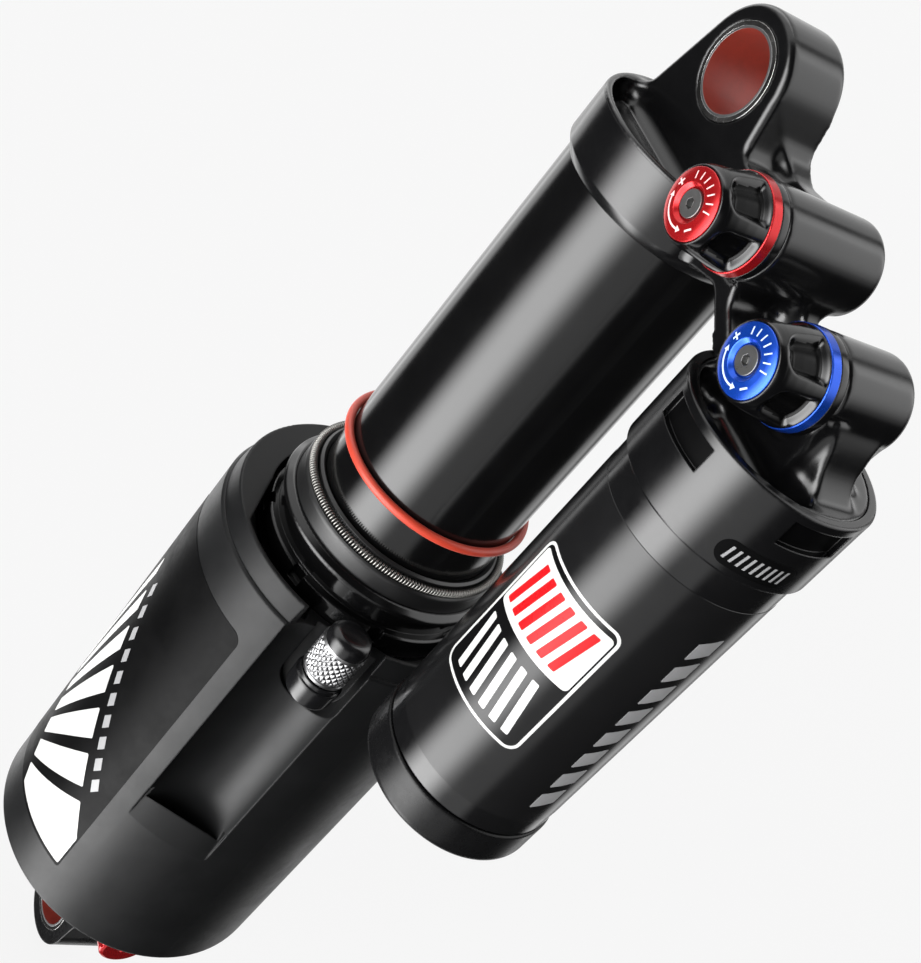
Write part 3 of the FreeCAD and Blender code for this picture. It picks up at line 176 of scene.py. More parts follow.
def metal_finish(name, base, rough, grain=(6.0, 0.10, 0.02), rough_var=0.06, tint=None, tint_amount=0.35,
                 bevel=0.25, wear=(0.16, 0.16, 0.165), wear_amount=0.25, metallic=0.0, ior=1.5, coat=0.0,
                 coat_rough=0.08, lathe=None, dust=0.0, aniso=0.0, spec=0.5):
    """An anodised, machined or plated metal. grain is (per mm, strength, height mm); lathe is (axis letter, per mm, strength, height)."""
    n = Net(name)
    normal, edge = n.edges(bevel)
    broad = n.noise(0.12, 3, 0.6)
    fine = n.noise(grain[0], 2.5, 0.6)
    col = n.mix(n.span(broad, 0.35, 0.7, 0, tint_amount), base, tint or tuple(c * 1.4 + 0.0004 for c in base))
    col = n.mix(n.span(fine, 0.3, 0.75, 0.0, 0.22), col, tuple(min(1, c * 1.5 + 0.0008) for c in base))
    worn = n.math("MULTIPLY", edge, n.span(n.noise(1.3, 4, 0.65, shift=3), 0.42, 0.72, 0, wear_amount))
    col = n.mix(worn, col, wear)
    if dust:
        speck = n.span(n.noise(2.4, 2, 0.5, shift=9), 0.70, 0.76, 0, dust)
        col = n.mix(speck, col, tuple(min(1, c * 3 + 0.02) for c in base))
    r = n.math("ADD", rough, n.span(broad, 0.3, 0.7, -rough_var, rough_var))
    r = n.math("ADD", r, n.span(n.noise(0.9, 4, 0.7, shift=5), 0.35, 0.75, -rough_var * 0.5, rough_var), clamp=True)
    height = fine
    nrm = n.bump(height, grain[1], grain[2], normal)
    if lathe:
        axis, per_mm, strength, h = lathe
        x, y, z = n.xyz()
        along = {"x": x, "y": y, "z": z}[axis]
        w = n.add("ShaderNodeTexNoise", noise_dimensions="1D")
        n.put(w.inputs["W"], n.math("MULTIPLY", along, 1000.0))
        w.inputs["Scale"].default_value = per_mm
        w.inputs["Detail"].default_value = 3.0
        nrm = n.bump(w.outputs[0], strength, h, nrm)
    b = n.bsdf.inputs
    n.put(b["Base Color"], col)
    n.put(b["Roughness"], r)
    n.put(b["Normal"], nrm)
    b["Metallic"].default_value = metallic
    b["IOR"].default_value = ior
    b["Specular IOR Level"].default_value = spec
    b["Coat Weight"].default_value = coat
    b["Coat Roughness"].default_value = coat_rough
    if aniso:
        b["Anisotropic"].default_value = aniso
    return n


def soft_finish(name, base, rough, grain=(4.0, 0.25, 0.03), tint=None, bevel=0.12, sheen=0.0, ior=1.5, mottle=0.5, marks=0.0):
    """Rubber and polymer."""
    n = Net(name)
    normal, edge = n.edges(bevel)
    broad = n.noise(0.25, 4, 0.6)
    fine = n.noise(grain[0], 4, 0.65)
    col = n.mix(n.span(broad, 0.3, 0.7, 0, mottle), base, tint or tuple(c * 0.72 for c in base))
    col = n.mix(n.span(fine, 0.35, 0.8, 0.0, 0.3), col, tuple(min(1, c * 1.35 + 0.0015) for c in base))
    col = n.mix(n.math("MULTIPLY", edge, n.span(n.noise(1.5, 3, 0.6, shift=2), 0.4, 0.7, 0, 0.3)), col, tuple(min(1, c * 1.6 + 0.004) for c in base))
    if marks:
        m = n.span(n.noise(0.8, 6, 0.75, (1, 1, 4), shift=7), 0.6, 0.72, 0, marks)
        col = n.mix(m, col, tuple(c * 0.4 for c in base))
    n.put(n.bsdf.inputs["Base Color"], col)
    n.put(n.bsdf.inputs["Roughness"], n.math("ADD", rough, n.span(fine, 0.3, 0.8, -0.06, 0.1), clamp=True))
    n.put(n.bsdf.inputs["Normal"], n.bump(fine, grain[1], grain[2], normal))
    n.bsdf.inputs["IOR"].default_value = ior
    n.bsdf.inputs["Sheen Weight"].default_value = sheen
    return n


M = {}
M["head_black"] = metal_finish("head_black", (0.0022, 0.0022, 0.0024), 0.185, grain=(5.0, 0.04, 0.010), bevel=0.3, wear_amount=0.04, rough_var=0.03)
M["tube_black"] = metal_finish("tube_black", (0.0018, 0.0018, 0.0019), 0.145, grain=(7.0, 0.02, 0.006), bevel=0.3, wear_amount=0.03, rough_var=0.02,
                               lathe=("z", 9.0, 0.02, 0.004), coat=0.0, spec=0.45)
M["can_black"] = metal_finish("can_black", (0.0045, 0.0046, 0.0048), 0.36, grain=(9.0, 0.35, 0.035), bevel=0.45, wear=(0.1, 0.1, 0.105), wear_amount=0.10, rough_var=0.04, dust=0.12, spec=0.17)
M["mount_black"] = metal_finish("mount_black", (0.003, 0.003, 0.0032), 0.26, grain=(7.0, 0.1, 0.015), bevel=0.4, wear_amount=0.06, spec=0.35)
M["reservoir_grey"] = metal_finish("reservoir_grey", (0.003, 0.003, 0.0032), 0.15, grain=(7.0, 0.03, 0.01), bevel=0.3, wear_amount=0.04, lathe=("z", 8.0, 0.02, 0.004), spec=0.5)
M["cap_black"] = metal_finish("cap_black", (0.003, 0.003, 0.0032), 0.27, grain=(8.0, 0.12, 0.018), bevel=0.3, wear_amount=0.06, lathe=("z", 7.0, 0.03, 0.006), spec=0.2)
M["knob_black"] = metal_finish("knob_black", (0.0018, 0.0018, 0.002), 0.13, grain=(8.0, 0.03, 0.008), bevel=0.25, wear=(0.2, 0.2, 0.2), wear_amount=0.05, rough_var=0.03)
M["anodised_red"] = metal_finish("anodised_red", (0.42, 0.010, 0.013), 0.22, grain=(10.0, 0.06, 0.01), tint=(0.33, 0.007, 0.010), bevel=0.15, wear=(0.75, 0.3, 0.3),
                                 wear_amount=0.25, metallic=0.7, rough_var=0.04, coat=0.2)
M["anodised_blue"] = metal_finish("anodised_blue", (0.008, 0.065, 0.46), 0.22, grain=(10.0, 0.06, 0.01), tint=(0.006, 0.045, 0.36), bevel=0.15, wear=(0.3, 0.4, 0.8),
                                  wear_amount=0.25, metallic=0.7, rough_var=0.04, coat=0.2)
M["raw_alloy"] = metal_finish("raw_alloy", (0.55, 0.55, 0.56), 0.3, grain=(9.0, 0.1, 0.01), tint=(0.48, 0.48, 0.49), bevel=0.15, wear=(0.8, 0.8, 0.8), metallic=1.0, lathe=("z", 10.0, 0.05, 0.006))
M["steel_zinc"] = metal_finish("steel_zinc", (0.62, 0.61, 0.60), 0.2, grain=(12.0, 0.08, 0.008), tint=(0.5, 0.5, 0.5), bevel=0.12, wear=(0.9, 0.9, 0.9), metallic=1.0, lathe=("y", 12.0, 0.05, 0.005))
M["shaft_chrome"] = metal_finish("shaft_chrome", (0.75, 0.75, 0.76), 0.08, grain=(12.0, 0.03, 0.004), tint=(0.7, 0.7, 0.72), bevel=0.12, wear=(0.9, 0.9, 0.9), metallic=1.0, rough_var=0.02)
M["screw_steel"] = metal_finish("screw_steel", (0.16, 0.16, 0.158), 0.32, grain=(12.0, 0.1, 0.008), tint=(0.11, 0.11, 0.11), bevel=0.1, wear=(0.5, 0.5, 0.5), metallic=0.85, rough_var=0.06)
M["spring_steel"] = metal_finish("spring_steel", (0.20, 0.195, 0.185), 0.34, grain=(10.0, 0.08, 0.008), tint=(0.13, 0.128, 0.12), bevel=0.05, wear=(0.4, 0.4, 0.4), metallic=1.0)
M["liner_maroon"] = soft_finish("liner_maroon", (0.26, 0.030, 0.018), 0.5, grain=(5.0, 0.35, 0.03), tint=(0.14, 0.018, 0.011), mottle=0.7, marks=0.5)
M["glide_plastic"] = soft_finish("glide_plastic", (0.22, 0.19, 0.12), 0.5)
M["bronze"] = metal_finish("bronze", (0.42, 0.27, 0.1), 0.35, tint=(0.34, 0.22, 0.09), wear=(0.7, 0.5, 0.3), metallic=1.0, bevel=0.1)
M["brass"] = metal_finish("brass", (0.62, 0.43, 0.16), 0.25, tint=(0.5, 0.35, 0.14), wear=(0.85, 0.7, 0.4), metallic=1.0, bevel=0.08)
M["seal_rubber"] = soft_finish("seal_rubber", (0.006, 0.006, 0.006), 0.5)
M["wiper_rubber"] = soft_finish("wiper_rubber", (0.005, 0.005, 0.0052), 0.36, grain=(5.0, 0.12, 0.015))
M["bumper_rubber"] = soft_finish("bumper_rubber", (0.05, 0.045, 0.035), 0.55)
M["marker_orange"] = soft_finish("marker_orange", (0.50, 0.045, 0.020), 0.42, grain=(5.0, 0.15, 0.015), tint=(0.36, 0.028, 0.013), mottle=0.5, sheen=0.05)
M["valve_black"] = metal_finish("valve_black", (0.004, 0.004, 0.0044), 0.2, bevel=0.15, wear_amount=0.05)
M["valve_cap_silver"] = metal_finish("valve_cap_silver", (0.34, 0.34, 0.345), 0.30, grain=(12.0, 0.08, 0.008), tint=(0.22, 0.22, 0.225), bevel=0.05, wear=(0.7, 0.7, 0.7), wear_amount=0.5, metallic=1.0)
M["graphic_white"] = soft_finish("graphic_white", (0.54, 0.54, 0.53), 0.35, grain=(9.0, 0.12, 0.006), tint=(0.62, 0.62, 0.61), bevel=0.02, mottle=0.35)
M["graphic_grey"] = soft_finish("graphic_grey", (0.28, 0.28, 0.285), 0.35, grain=(9.0, 0.12, 0.006), tint=(0.22, 0.22, 0.225), bevel=0.02, mottle=0.35)
M["graphic_red"] = metal_finish("graphic_red", (0.46, 0.008, 0.011), 0.3, grain=(9.0, 0.12, 0.006), tint=(0.38, 0.006, 0.009), bevel=0.02, wear_amount=0.0, spec=0.15)
M["graphic_panel"] = metal_finish("graphic_panel", (0.0016, 0.0016, 0.0017), 0.40, grain=(9.0, 0.25, 0.012), bevel=0.02, wear_amount=0.0, spec=0.045)
M["graphic_wrap"] = metal_finish("graphic_wrap", (0.0045, 0.0045, 0.0047), 0.17, grain=(9.0, 0.05, 0.006), bevel=0.02, wear_amount=0.0, rough_var=0.03, spec=0.36)
M["graphic_label"] = metal_finish("graphic_label", (0.0025, 0.0025, 0.0027), 0.17, grain=(9.0, 0.05, 0.006), bevel=0.02, wear_amount=0.0, rough_var=0.03, spec=0.3)
# painted shade: a near-black, dull film laid in the collar's spanner slots, standing in for the shade inside them
M["slot_painted_shade"] = metal_finish("slot_painted_shade", (0.0012, 0.0012, 0.0013), 0.5, grain=(9.0, 0.2, 0.012), bevel=0.02, wear_amount=0.0, spec=0.03)
# painted shade: a darker, duller finish for the knob pocket floors, standing in for the shade inside the pockets
M["knob_pocket_painted_shade"] = metal_finish("knob_pocket_painted_shade", (0.0012, 0.0012, 0.0013), 0.22, grain=(9.0, 0.1, 0.010), bevel=0.2, wear_amount=0.0, spec=0.10)
M["graphic_light_red"] = soft_finish("graphic_light_red", (0.80, 0.55, 0.55), 0.35, bevel=0.02)
M["graphic_light_blue"] = soft_finish("graphic_light_blue", (0.62, 0.72, 0.85), 0.35, bevel=0.02)


def liner_ends(n):
    """The bush is rolled from lined steel strip, so its ends show the steel and its bore shows the lining."""
    ny = n.xyz(n.add("ShaderNodeNewGeometry").outputs["Normal"])[1]
    face = n.span(n.math("ABSOLUTE", ny), 0.3, 0.5)
    old = n.bsdf.inputs["Base Color"].links[0].from_socket
    n.put(n.bsdf.inputs["Base Color"], n.mix(face, old, (0.36, 0.36, 0.365)))
    n.put(n.bsdf.inputs["Metallic"], face)
    rough = n.bsdf.inputs["Roughness"].links[0].from_socket
    n.put(n.bsdf.inputs["Roughness"], n.lerp(face, rough, 0.34))


liner_ends(M["liner_maroon"])

slot_of = {s["node"]: s["material_slot"] for s in frame["record"]["subparts"]}
for name, obj in nodes.items():
    obj.data.materials.clear()
    obj.data.materials.append(M[slot_of[name]].mat)


# ---------------------------------------------------------------- mesh pieces
def piece(name, verts, faces, body, slot, material=None, smooth=True, sharp_deg=None):
    me = bpy.data.meshes.new(name)
    me.from_pydata([tuple(float(c) * MM for c in v) for v in verts], [], [tuple(int(i) for i in f) for f in faces])
    me.validate()
    me.update()
    if smooth:
        me.shade_smooth()
        if sharp_deg is not None:
            me.set_sharp_from_angle(angle=math.radians(sharp_deg))
    ob = bpy.data.objects.new(name, me)
    bpy.context.scene.collection.objects.link(ob)
    me.materials.append((material or M[slot]).mat)
    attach(ob, body)
    return ob


def ring_coil(radius, z, coil_r, wire_r, turns, per_turn=12, around=8):
    """Closed garter spring: a wire wound into a coil whose axis is a circle."""
    steps = turns * per_turn
    pts = []
    for i in range(steps):
        a = TAU * i / steps
        b = TAU * i / per_turn
        out = radius + coil_r * math.cos(b)
        pts.append(Vector((out * math.cos(a), out * math.sin(a), z + coil_r * math.sin(b))))
    verts, faces = [], []
    for i, p in enumerate(pts):
        tangent = (pts[(i + 1) % steps] - pts[i - 1]).normalized()
        a = TAU * i / steps
        core = Vector((radius * math.cos(a), radius * math.sin(a), z))
        n1 = (p - core).normalized()
        n1 = (n1 - tangent * n1.dot(tangent)).normalized()
        n2 = tangent.cross(n1)
        for k in range(around):
            c = TAU * k / around
            verts.append(p + (n1 * math.cos(c) + n2 * math.sin(c)) * wire_r)
    for i in range(steps):
        j = (i + 1) % steps
        for k in range(around):
            m = (k + 1) % around
            faces.append((i * around + k, j * around + k, j * around + m, i * around + m))
    return verts, faces


low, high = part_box("garter_spring")
coil_mid_r = (18.2 + 19.72) / 2
v, f = ring_coil(coil_mid_r, (low.z + high.z) / 2 / MM, 0.56, 0.21, 210)
coil = piece("garter_spring_coil", v, f, "air_can_assembly", "spring_steel")
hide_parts("garter_spring")


# knurled valve cap: silver diamond-knurled skirt with a black domed top
def valve_cap_mesh(cx, cy, z0, z1, r, count=20, skirt=7.0):
    verts, faces = [], []
    cols = count * 8
    rows = []
    # profile of plain rings below the knurl: inner edge, bottom edge, bead
    rows += [(r - 1.25, z0 + 0.0), (r - 0.75, z0 - 0.0), (r - 0.32, z0 + 0.12), (r - 0.12, z0 + 0.42), (r - 0.12, z0 + 0.85), (r - 0.38, z0 + 1.05), (r - 0.38, z0 + 1.2)]
    plain = len(rows)
    knurl_rows = 40
    zs = np.linspace(z0 + 1.35, z0 + skirt, knurl_rows)
    verts_rows = []
    for rr, zz in rows:
        verts_rows.append([(rr, TAU * i / cols, zz) for i in range(cols)])
    pitch = TAU / count
    lead = pitch * r / 1.0  # diagonal at 45 degrees: one pitch of arc per equal height
    for zz in zs:
        row = []
        for i in range(cols):
            a = TAU * i / cols
            u = a / pitch
            w = (zz - z0) / lead
            d1 = abs((u + w) % 1.0 - 0.5) * 2
            d2 = abs((u - w) % 1.0 - 0.5) * 2
            g = max(d1, d2)
            depth = 0.42 * max(0.0, (g - 0.62) / 0.38)
            end = min(1.0, (zz - zs[0]) / 0.25, (zs[-1] - zz) / 0.25)
            row.append((r - 0.02 - depth * max(0.0, end), a, zz))
        verts_rows.append(row)
    top_profile = [(r - 0.18, z0 + skirt + 0.18), (r - 0.3, z0 + skirt + 0.45)]
    for rr, zz in top_profile:
        verts_rows.append([(rr, TAU * i / cols, zz) for i in range(cols)])
    for row in verts_rows:
        for rr, a, zz in row:
            verts.append((cx + rr * math.cos(a), cy + rr * math.sin(a), zz))
    n = len(verts_rows)
    for j in range(n - 1):
        for i in range(cols):
            k = (i + 1) % cols
            faces.append((j * cols + i, j * cols + k, (j + 1) * cols + k, (j + 1) * cols + i))
    # close inside: bottom ring inwards and up to a roof
    base = len(verts)
    for i in range(cols):
        a = TAU * i / cols
        verts.append((cx + (r - 1.25) * math.cos(a), cy + (r - 1.25) * math.sin(a), z0 + skirt - 0.6))
    for i in range(cols):
        k = (i + 1) % cols
        faces.append((base + i, base + k, k, i))
    centre = len(verts)
    verts.append((cx, cy, z0 + skirt - 0.6))
    for i in range(cols):
        k = (i + 1) % cols
        faces.append((centre, base + k, base + i))
    lid = len(verts)
    verts.append((cx, cy, z0 + skirt + 0.45))
    last = (n - 1) * cols
    for i in range(cols):
        k = (i + 1) % cols
        faces.append((last + i, last + k, lid))
    return verts, faces


def lathe_mesh(cx, cy, profile, cols=96, close_low=True, close_high=True):
    """Turned shape about a vertical axis; profile is [(r, z)] from the bottom up. r 0 makes a pole."""
    verts, faces, rings = [], [], []
    for rr, zz in profile:
        if rr < 1e-6:
            rings.append([len(verts)])
            verts.append((cx, cy, zz))
        else:
            rings.append(list(range(len(verts), len(verts) + cols)))
            for i in range(cols):
                a = TAU * i / cols
                verts.append((cx + rr * math.cos(a), cy + rr * math.sin(a), zz))
    for a, b in zip(rings, rings[1:]):
        for i in range(cols):
            k = (i + 1) % cols
            if len(a) == 1 and len(b) == 1:
                continue
            if len(a) == 1:
                faces.append((a[0], b[k], b[i]))
            elif len(b) == 1:
                faces.append((a[i], a[k], b[0]))
            else:
                faces.append((a[i], a[k], b[k], b[i]))
    return verts, faces


low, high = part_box("valve_cap")
vcx, vcy = (low.x + high.x) / 2 / MM, (low.y + high.y) / 2 / MM
vr = (high.x - low.x) / 2 / MM
vz0, vz1 = low.z / MM, high.z / MM
v, f = valve_cap_mesh(vcx, vcy, vz0, vz1, vr)
cap = piece("valve_cap_knurled", v, f, "air_valve_cap", "valve_cap_silver", sharp_deg=50)
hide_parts("valve_cap")
dome = [(0, vz0 + 7.05), (vr - 0.55, vz0 + 7.05), (vr - 0.34, vz0 + 7.2), (vr - 0.26, vz0 + 7.6), (vr - 0.26, vz0 + 8.15)]
for k in range(1, 9):
    a = math.radians(90 * k / 8)
    dome.append(((vr - 0.26) - 1.9 * (1 - math.cos(a)), vz0 + 8.15 + (vz1 - vz0 - 8.15 - 0.12) * math.sin(a)))
dome += [((vr - 2.16) * 0.5, vz1 - 0.02), (0, vz1)]
v, f = lathe_mesh(vcx, vcy, dome)
piece("valve_cap_dome", v, f, "air_valve_cap", "valve_black", sharp_deg=60)


# ---------------------------------------------------------------- head casting: the same casting with its cast fillets and broken edges
def triangles_of(ob):
    me = ob.data
    me.calc_loop_triangles()
    v = np.empty(len(me.vertices) * 3, np.float32)
    me.vertices.foreach_get("co", v)
    t = np.empty(len(me.loop_triangles) * 3, np.int32)
    me.loop_triangles.foreach_get("vertices", t)
    v = v.reshape(-1, 3) * 1000.0
    key, back = np.unique(np.round(v, 4), axis=0, return_inverse=True)
    t = back.reshape(-1)[t].reshape(-1, 3)
    t = t[(t[:, 0] != t[:, 1]) & (t[:, 1] != t[:, 2]) & (t[:, 0] != t[:, 2])]
    return key.astype(np.float32), t.astype(np.uint32)


class Field:
    """A distance field in millimetres on a fixed block of voxels."""

    def __init__(self, lo, hi, voxel):
        self.voxel = voxel
        self.first = [int(math.floor(c / voxel)) - 1 for c in lo]
        self.shape = [int(math.ceil(h / voxel)) + 2 - f for h, f in zip(hi, self.first)]
        self.xf = openvdb.createLinearTransform(voxel)

    def grid(self, points, tris=None, quads=None, reach=1.0):
        args = {"transform": self.xf, "halfWidth": reach / self.voxel + 2.5}
        if tris is not None and len(tris):
            args["triangles"] = np.ascontiguousarray(tris, dtype=np.uint32)
        if quads is not None and len(quads):
            args["quads"] = np.ascontiguousarray(quads, dtype=np.uint32)
        return openvdb.FloatGrid.createLevelSetFromPolygons(np.ascontiguousarray(points, dtype=np.float32), **args)

    def array(self, grid):
        out = np.empty(self.shape, np.float32)
        grid.copyToArray(out, ijk=tuple(self.first))
        return out

    def regrid(self, values, reach):
        g = openvdb.FloatGrid(reach + 2.5 * self.voxel)
        g.transform = self.xf
        g.copyFromArray(np.ascontiguousarray(values, dtype=np.float32), ijk=tuple(self.first))
        return g

    def offset(self, grid, by, reach):
        """The field of the surface moved outwards by the given distance."""
        p, t, q = grid.convertToPolygons(isovalue=by, adaptivity=0.0)
        return self.grid(p, t, q, reach)

    def axes(self):
        return np.meshgrid(*[(np.arange(n) + f).astype(np.float32) * self.voxel for n, f in zip(self.shape, self.first)], indexing="ij", sparse=True)



def corner_mm(name):
    a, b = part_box(name)
    return [c / MM for c in a], [c / MM for c in b]


def soft_head():
    (x0, y0, z0), (x1, y1, z1) = corner_mm("head_casting")
    pts, tri = triangles_of(nodes["head_casting"])
    field = Field((x0 - 3.0, y0 - 3.0, z0 - 3.0), (x1 + 3.0, y1 + 3.0, z1 + 3.0), 0.3)
    close_by, open_by = 2.2, 0.5
    g = field.grid(pts, tri, reach=close_by + 0.6)
    raw = field.array(g)
    closed = field.array(field.offset(g, close_by, close_by + 0.6)) + close_by
    X, Y, Z = field.axes()
    from_main = np.sqrt(X * X + Y * Y) + 0 * Z
    from_res = np.sqrt((X - res_axis) ** 2 + Y * Y) + 0 * Z
    tube_top = corner_mm("damper_tube")[1][2]
    allowed = ((Z > 198.6) & (from_res > -1)) | ((from_res < 14.2) & (Z > 191.3))
    allowed &= ~((from_main < 17.2) & (Z < tube_top + 2.3))
    for prefix in ("rebound", "compression"):
        a, b = corner_mm(prefix + "_knob")
        bx, bz = (a[0] + b[0]) / 2, (a[2] + b[2]) / 2
        allowed &= ~(((X - bx) ** 2 + (Z - bz) ** 2 < 6.6 ** 2) & (Y < 100))
    a, b = corner_mm("upper_bushing_shell")
    bush_r, eye_z = (b[0] - a[0]) / 2, (a[2] + b[2]) / 2
    allowed &= ~((X * X + (Z - eye_z) ** 2 < (bush_r + 0.25) ** 2) & (Y < 100))
    soft = np.where(allowed, np.minimum(raw, closed), raw)
    g = field.regrid(soft, close_by + 0.6)
    opened = field.array(field.offset(g, -open_by, open_by + 0.9)) - open_by
    rim = (from_main > 16.5) & (Z < 209.4) & (X < 14.0)
    rim |= (from_res > 13.3) & (Z < 197.8)
    soft = np.where(allowed & ~rim, np.maximum(soft, opened), soft)
    g = field.regrid(soft, close_by + 0.6)
    p, t, q = g.convertToPolygons(isovalue=0.0, adaptivity=0.0)
    me = bpy.data.meshes.new("head_casting_finished")
    me.from_pydata((p * 0.001).tolist(), [], [tuple(reversed(f)) for f in t.tolist()] + [tuple(reversed(f)) for f in q.tolist()])
    me.update()
    bm = bmesh.new()
    bm.from_mesh(me)
    for _ in range(2):
        bmesh.ops.smooth_vert(bm, verts=bm.verts[:], factor=0.5, use_axis_x=True, use_axis_y=True, use_axis_z=True)
    bmesh.ops.recalc_face_normals(bm, faces=bm.faces[:])
    # the collar's turned face lies exactly on its cylinder
    collar_r = (corner_mm("head_casting")[0][0] * -1)
    for v in bm.verts:
        x, y, z = v.co * 1000.0
        r = math.hypot(x, y)
        if abs(r - collar_r) < 0.05:
            v.co.x, v.co.y = x / r * collar_r * MM, y / r * collar_r * MM
    bm.to_mesh(me)
    bm.free()
    me.shade_smooth()
    ob = bpy.data.objects.new("head_casting_finished", me)
    bpy.context.scene.collection.objects.link(ob)
    me.materials.append(M["head_black"].mat)
    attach(ob, "damper_body")
    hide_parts("head_casting")
    return ob


res_axis = sum(c.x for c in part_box("reservoir_tube")) / 2 / MM
soft_head()

# the collar's turned outside face and lower chamfer
tube_r = (corner_mm("damper_tube")[1][1])
band = [(tube_r + 0.02, 197.93), (18.08, 199.74), (18.13, 199.95), (18.13, 208.25), (18.05, 208.4), (17.5, 208.4), (17.5, 201.0), (tube_r + 0.02, 199.2)]
cols = 192
bv = [(r * math.cos(TAU * i / cols), r * math.sin(TAU * i / cols), z) for r, z in band for i in range(cols)]
bf = []
for j in range(len(band)):
    k = (j + 1) % len(band)
    for i in range(cols):
        m = (i + 1) % cols
        bf.append((j * cols + i, j * cols + m, k * cols + m, k * cols + i))
piece("head_collar_band", bv, bf, "damper_body", "head_black", sharp_deg=25)


# ---------------------------------------------------------------- adjuster knobs: lathe-turned body with five scooped finger pockets
def knob_mesh(cx, cz, y_face, turn_deg, count=5, cols=300):
    """y_face is the plane that the knob's flange faces; distances d run from it towards the hand."""
    prof = [(0.0, -1.0), (1.3, -1.0), (1.3, -6.0), (3.75, -6.0), (3.95, -5.8), (3.95, 0.15), (6.98, 0.15)]
    prof += [(7.02 + 0.2 * math.sin(math.radians(a)), 0.35 - 0.2 * math.cos(math.radians(a))) for a in (18, 36, 54, 72, 90)]
    prof += [(7.22, 1.48), (7.19, 1.55), (7.12, 1.6), (6.3, 1.6), (6.3, 3.2), (6.86, 3.2)]
    rows = []
    for r, d in prof:
        rows.append((r, d, 0.0))
    skin_d = [3.2, 3.23, 3.3, 3.4] + list(np.linspace(3.55, 9.7, 62)) + list(np.linspace(9.85, 10.7, 9)) + [10.8, 10.87, 10.9]
    knots_d = [3.2, 3.3, 5.0, 6.4, 8.0, 9.2, 10.0, 10.5, 10.8, 10.9]
    knots_r = [6.90, 6.97, 6.78, 6.56, 6.25, 5.98, 5.74, 5.53, 5.38, 5.28]
    for d in skin_d[1:]:
        rows.append((float(np.interp(d, knots_d, knots_r)), d, 1.0))
    rs = [x[0] for x in rows[len(prof):]]
    for _ in range(3):
        rs = [rs[0]] + [(rs[i - 1] + 2 * rs[i] + rs[i + 1]) / 4 for i in range(1, len(rs) - 1)] + [rs[-1]]
    rows = rows[:len(prof)] + [(rs[i], x[1], 1.0) for i, x in enumerate(rows[len(prof):])]
    rows += [(5.17, 10.9, 0.0), (5.12, 10.86, 0.0), (5.12, 10.35, 0.0), (0.9, 10.35, 0.0), (0.9, 4.0, 0.0), (0.0, 4.0, 0.0)]

    def smooth(a, b, x):
        x = min(1.0, max(0.0, (x - a) / (b - a)))
        return x * x * (3 - 2 * x)

    step = TAU / count
    verts, faces, rings = [], [], []
    floor = set()
    for r, d, skin in rows:
        if r < 1e-6:
            rings.append([len(verts)])
            verts.append((cx, y_face - d, cz))
            continue
        rings.append(list(range(len(verts), len(verts) + cols)))
        for i in range(cols):
            a = TAU * i / cols
            rr = r
            if skin and 3.3 < d < 10.2:
                off = ((a - math.radians(turn_deg)) / step + 0.5) % 1.0 - 0.5
                across = abs(off * step * 6.3)
                # the pocket is 5.4 wide at the ring and closes in a round end towards the disc
                end = 9.95
                half = 2.55 - 0.45 * max(0.0, (d - 3.5) / 6.0)
                if d > end - half:
                    k = 1 - ((d - (end - half)) / half) ** 2
                    half = half * math.sqrt(k) if k > 0 else 0.0
                side = smooth(0.85, -0.45, across - half) if half > 0 else 0.0
                lip = smooth(3.36, 4.1, d)
                fade = smooth(end + 0.2, end - 2.2, d)
                rr = r - 1.35 * side * lip * fade
                # vertices deep in a pocket; their faces later get the painted-shade pocket material
                if side * lip * fade > 0.55:
                    floor.add(len(verts))
            verts.append((cx + rr * math.cos(a), y_face - d, cz + rr * math.sin(a)))
    for a, b in zip(rings, rings[1:]):
        for i in range(cols):
            k = (i + 1) % cols
            if len(a) == 1:
                faces.append((a[0], b[i], b[k]))
            elif len(b) == 1:
                faces.append((a[k], a[i], b[0]))
            else:
                faces.append((a[k], a[i], b[i], b[k]))
    return verts, faces, floor


def face_up(ob):
    """Makes every face point away from the solid."""
    bm = bmesh.new()
    bm.from_mesh(ob.data)
    bmesh.ops.recalc_face_normals(bm, faces=bm.faces[:])
    bm.to_mesh(ob.data)
    bm.free()


for prefix, body_name in (("rebound", "rebound_adjuster"), ("compression", "compression_adjuster")):
    low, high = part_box(prefix + "_knob")
    kx, kz = (low.x + high.x) / 2 / MM, (low.z + high.z) / 2 / MM
    v, f, shaded_pocket_points = knob_mesh(kx, kz, low.y / MM + 10.9, 60.0)
    ob = piece(prefix + "_knob_scooped", v, f, body_name, "knob_black", sharp_deg=38)
    face_up(ob)
    # the pocket floors get a darker, duller material than the knob body: painted shade for the deep pockets
    ob.data.materials.append(M["knob_pocket_painted_shade"].mat)
    for poly in ob.data.polygons:
        if all(i in shaded_pocket_points for i in poly.vertices):
            poly.material_index = 1
    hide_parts(prefix + "_knob")


# ---------------------------------------------------------------- printed graphics: thin films that follow the surface
def inside(poly, x, y):
    hit, n = False, len(poly)
    for i in range(n):
        x1, y1 = poly[i]
        x2, y2 = poly[(i + 1) % n]
        if (y1 > y) != (y2 > y) and x < (x2 - x1) * (y - y1) / (y2 - y1) + x1:
            hit = not hit
    return hit


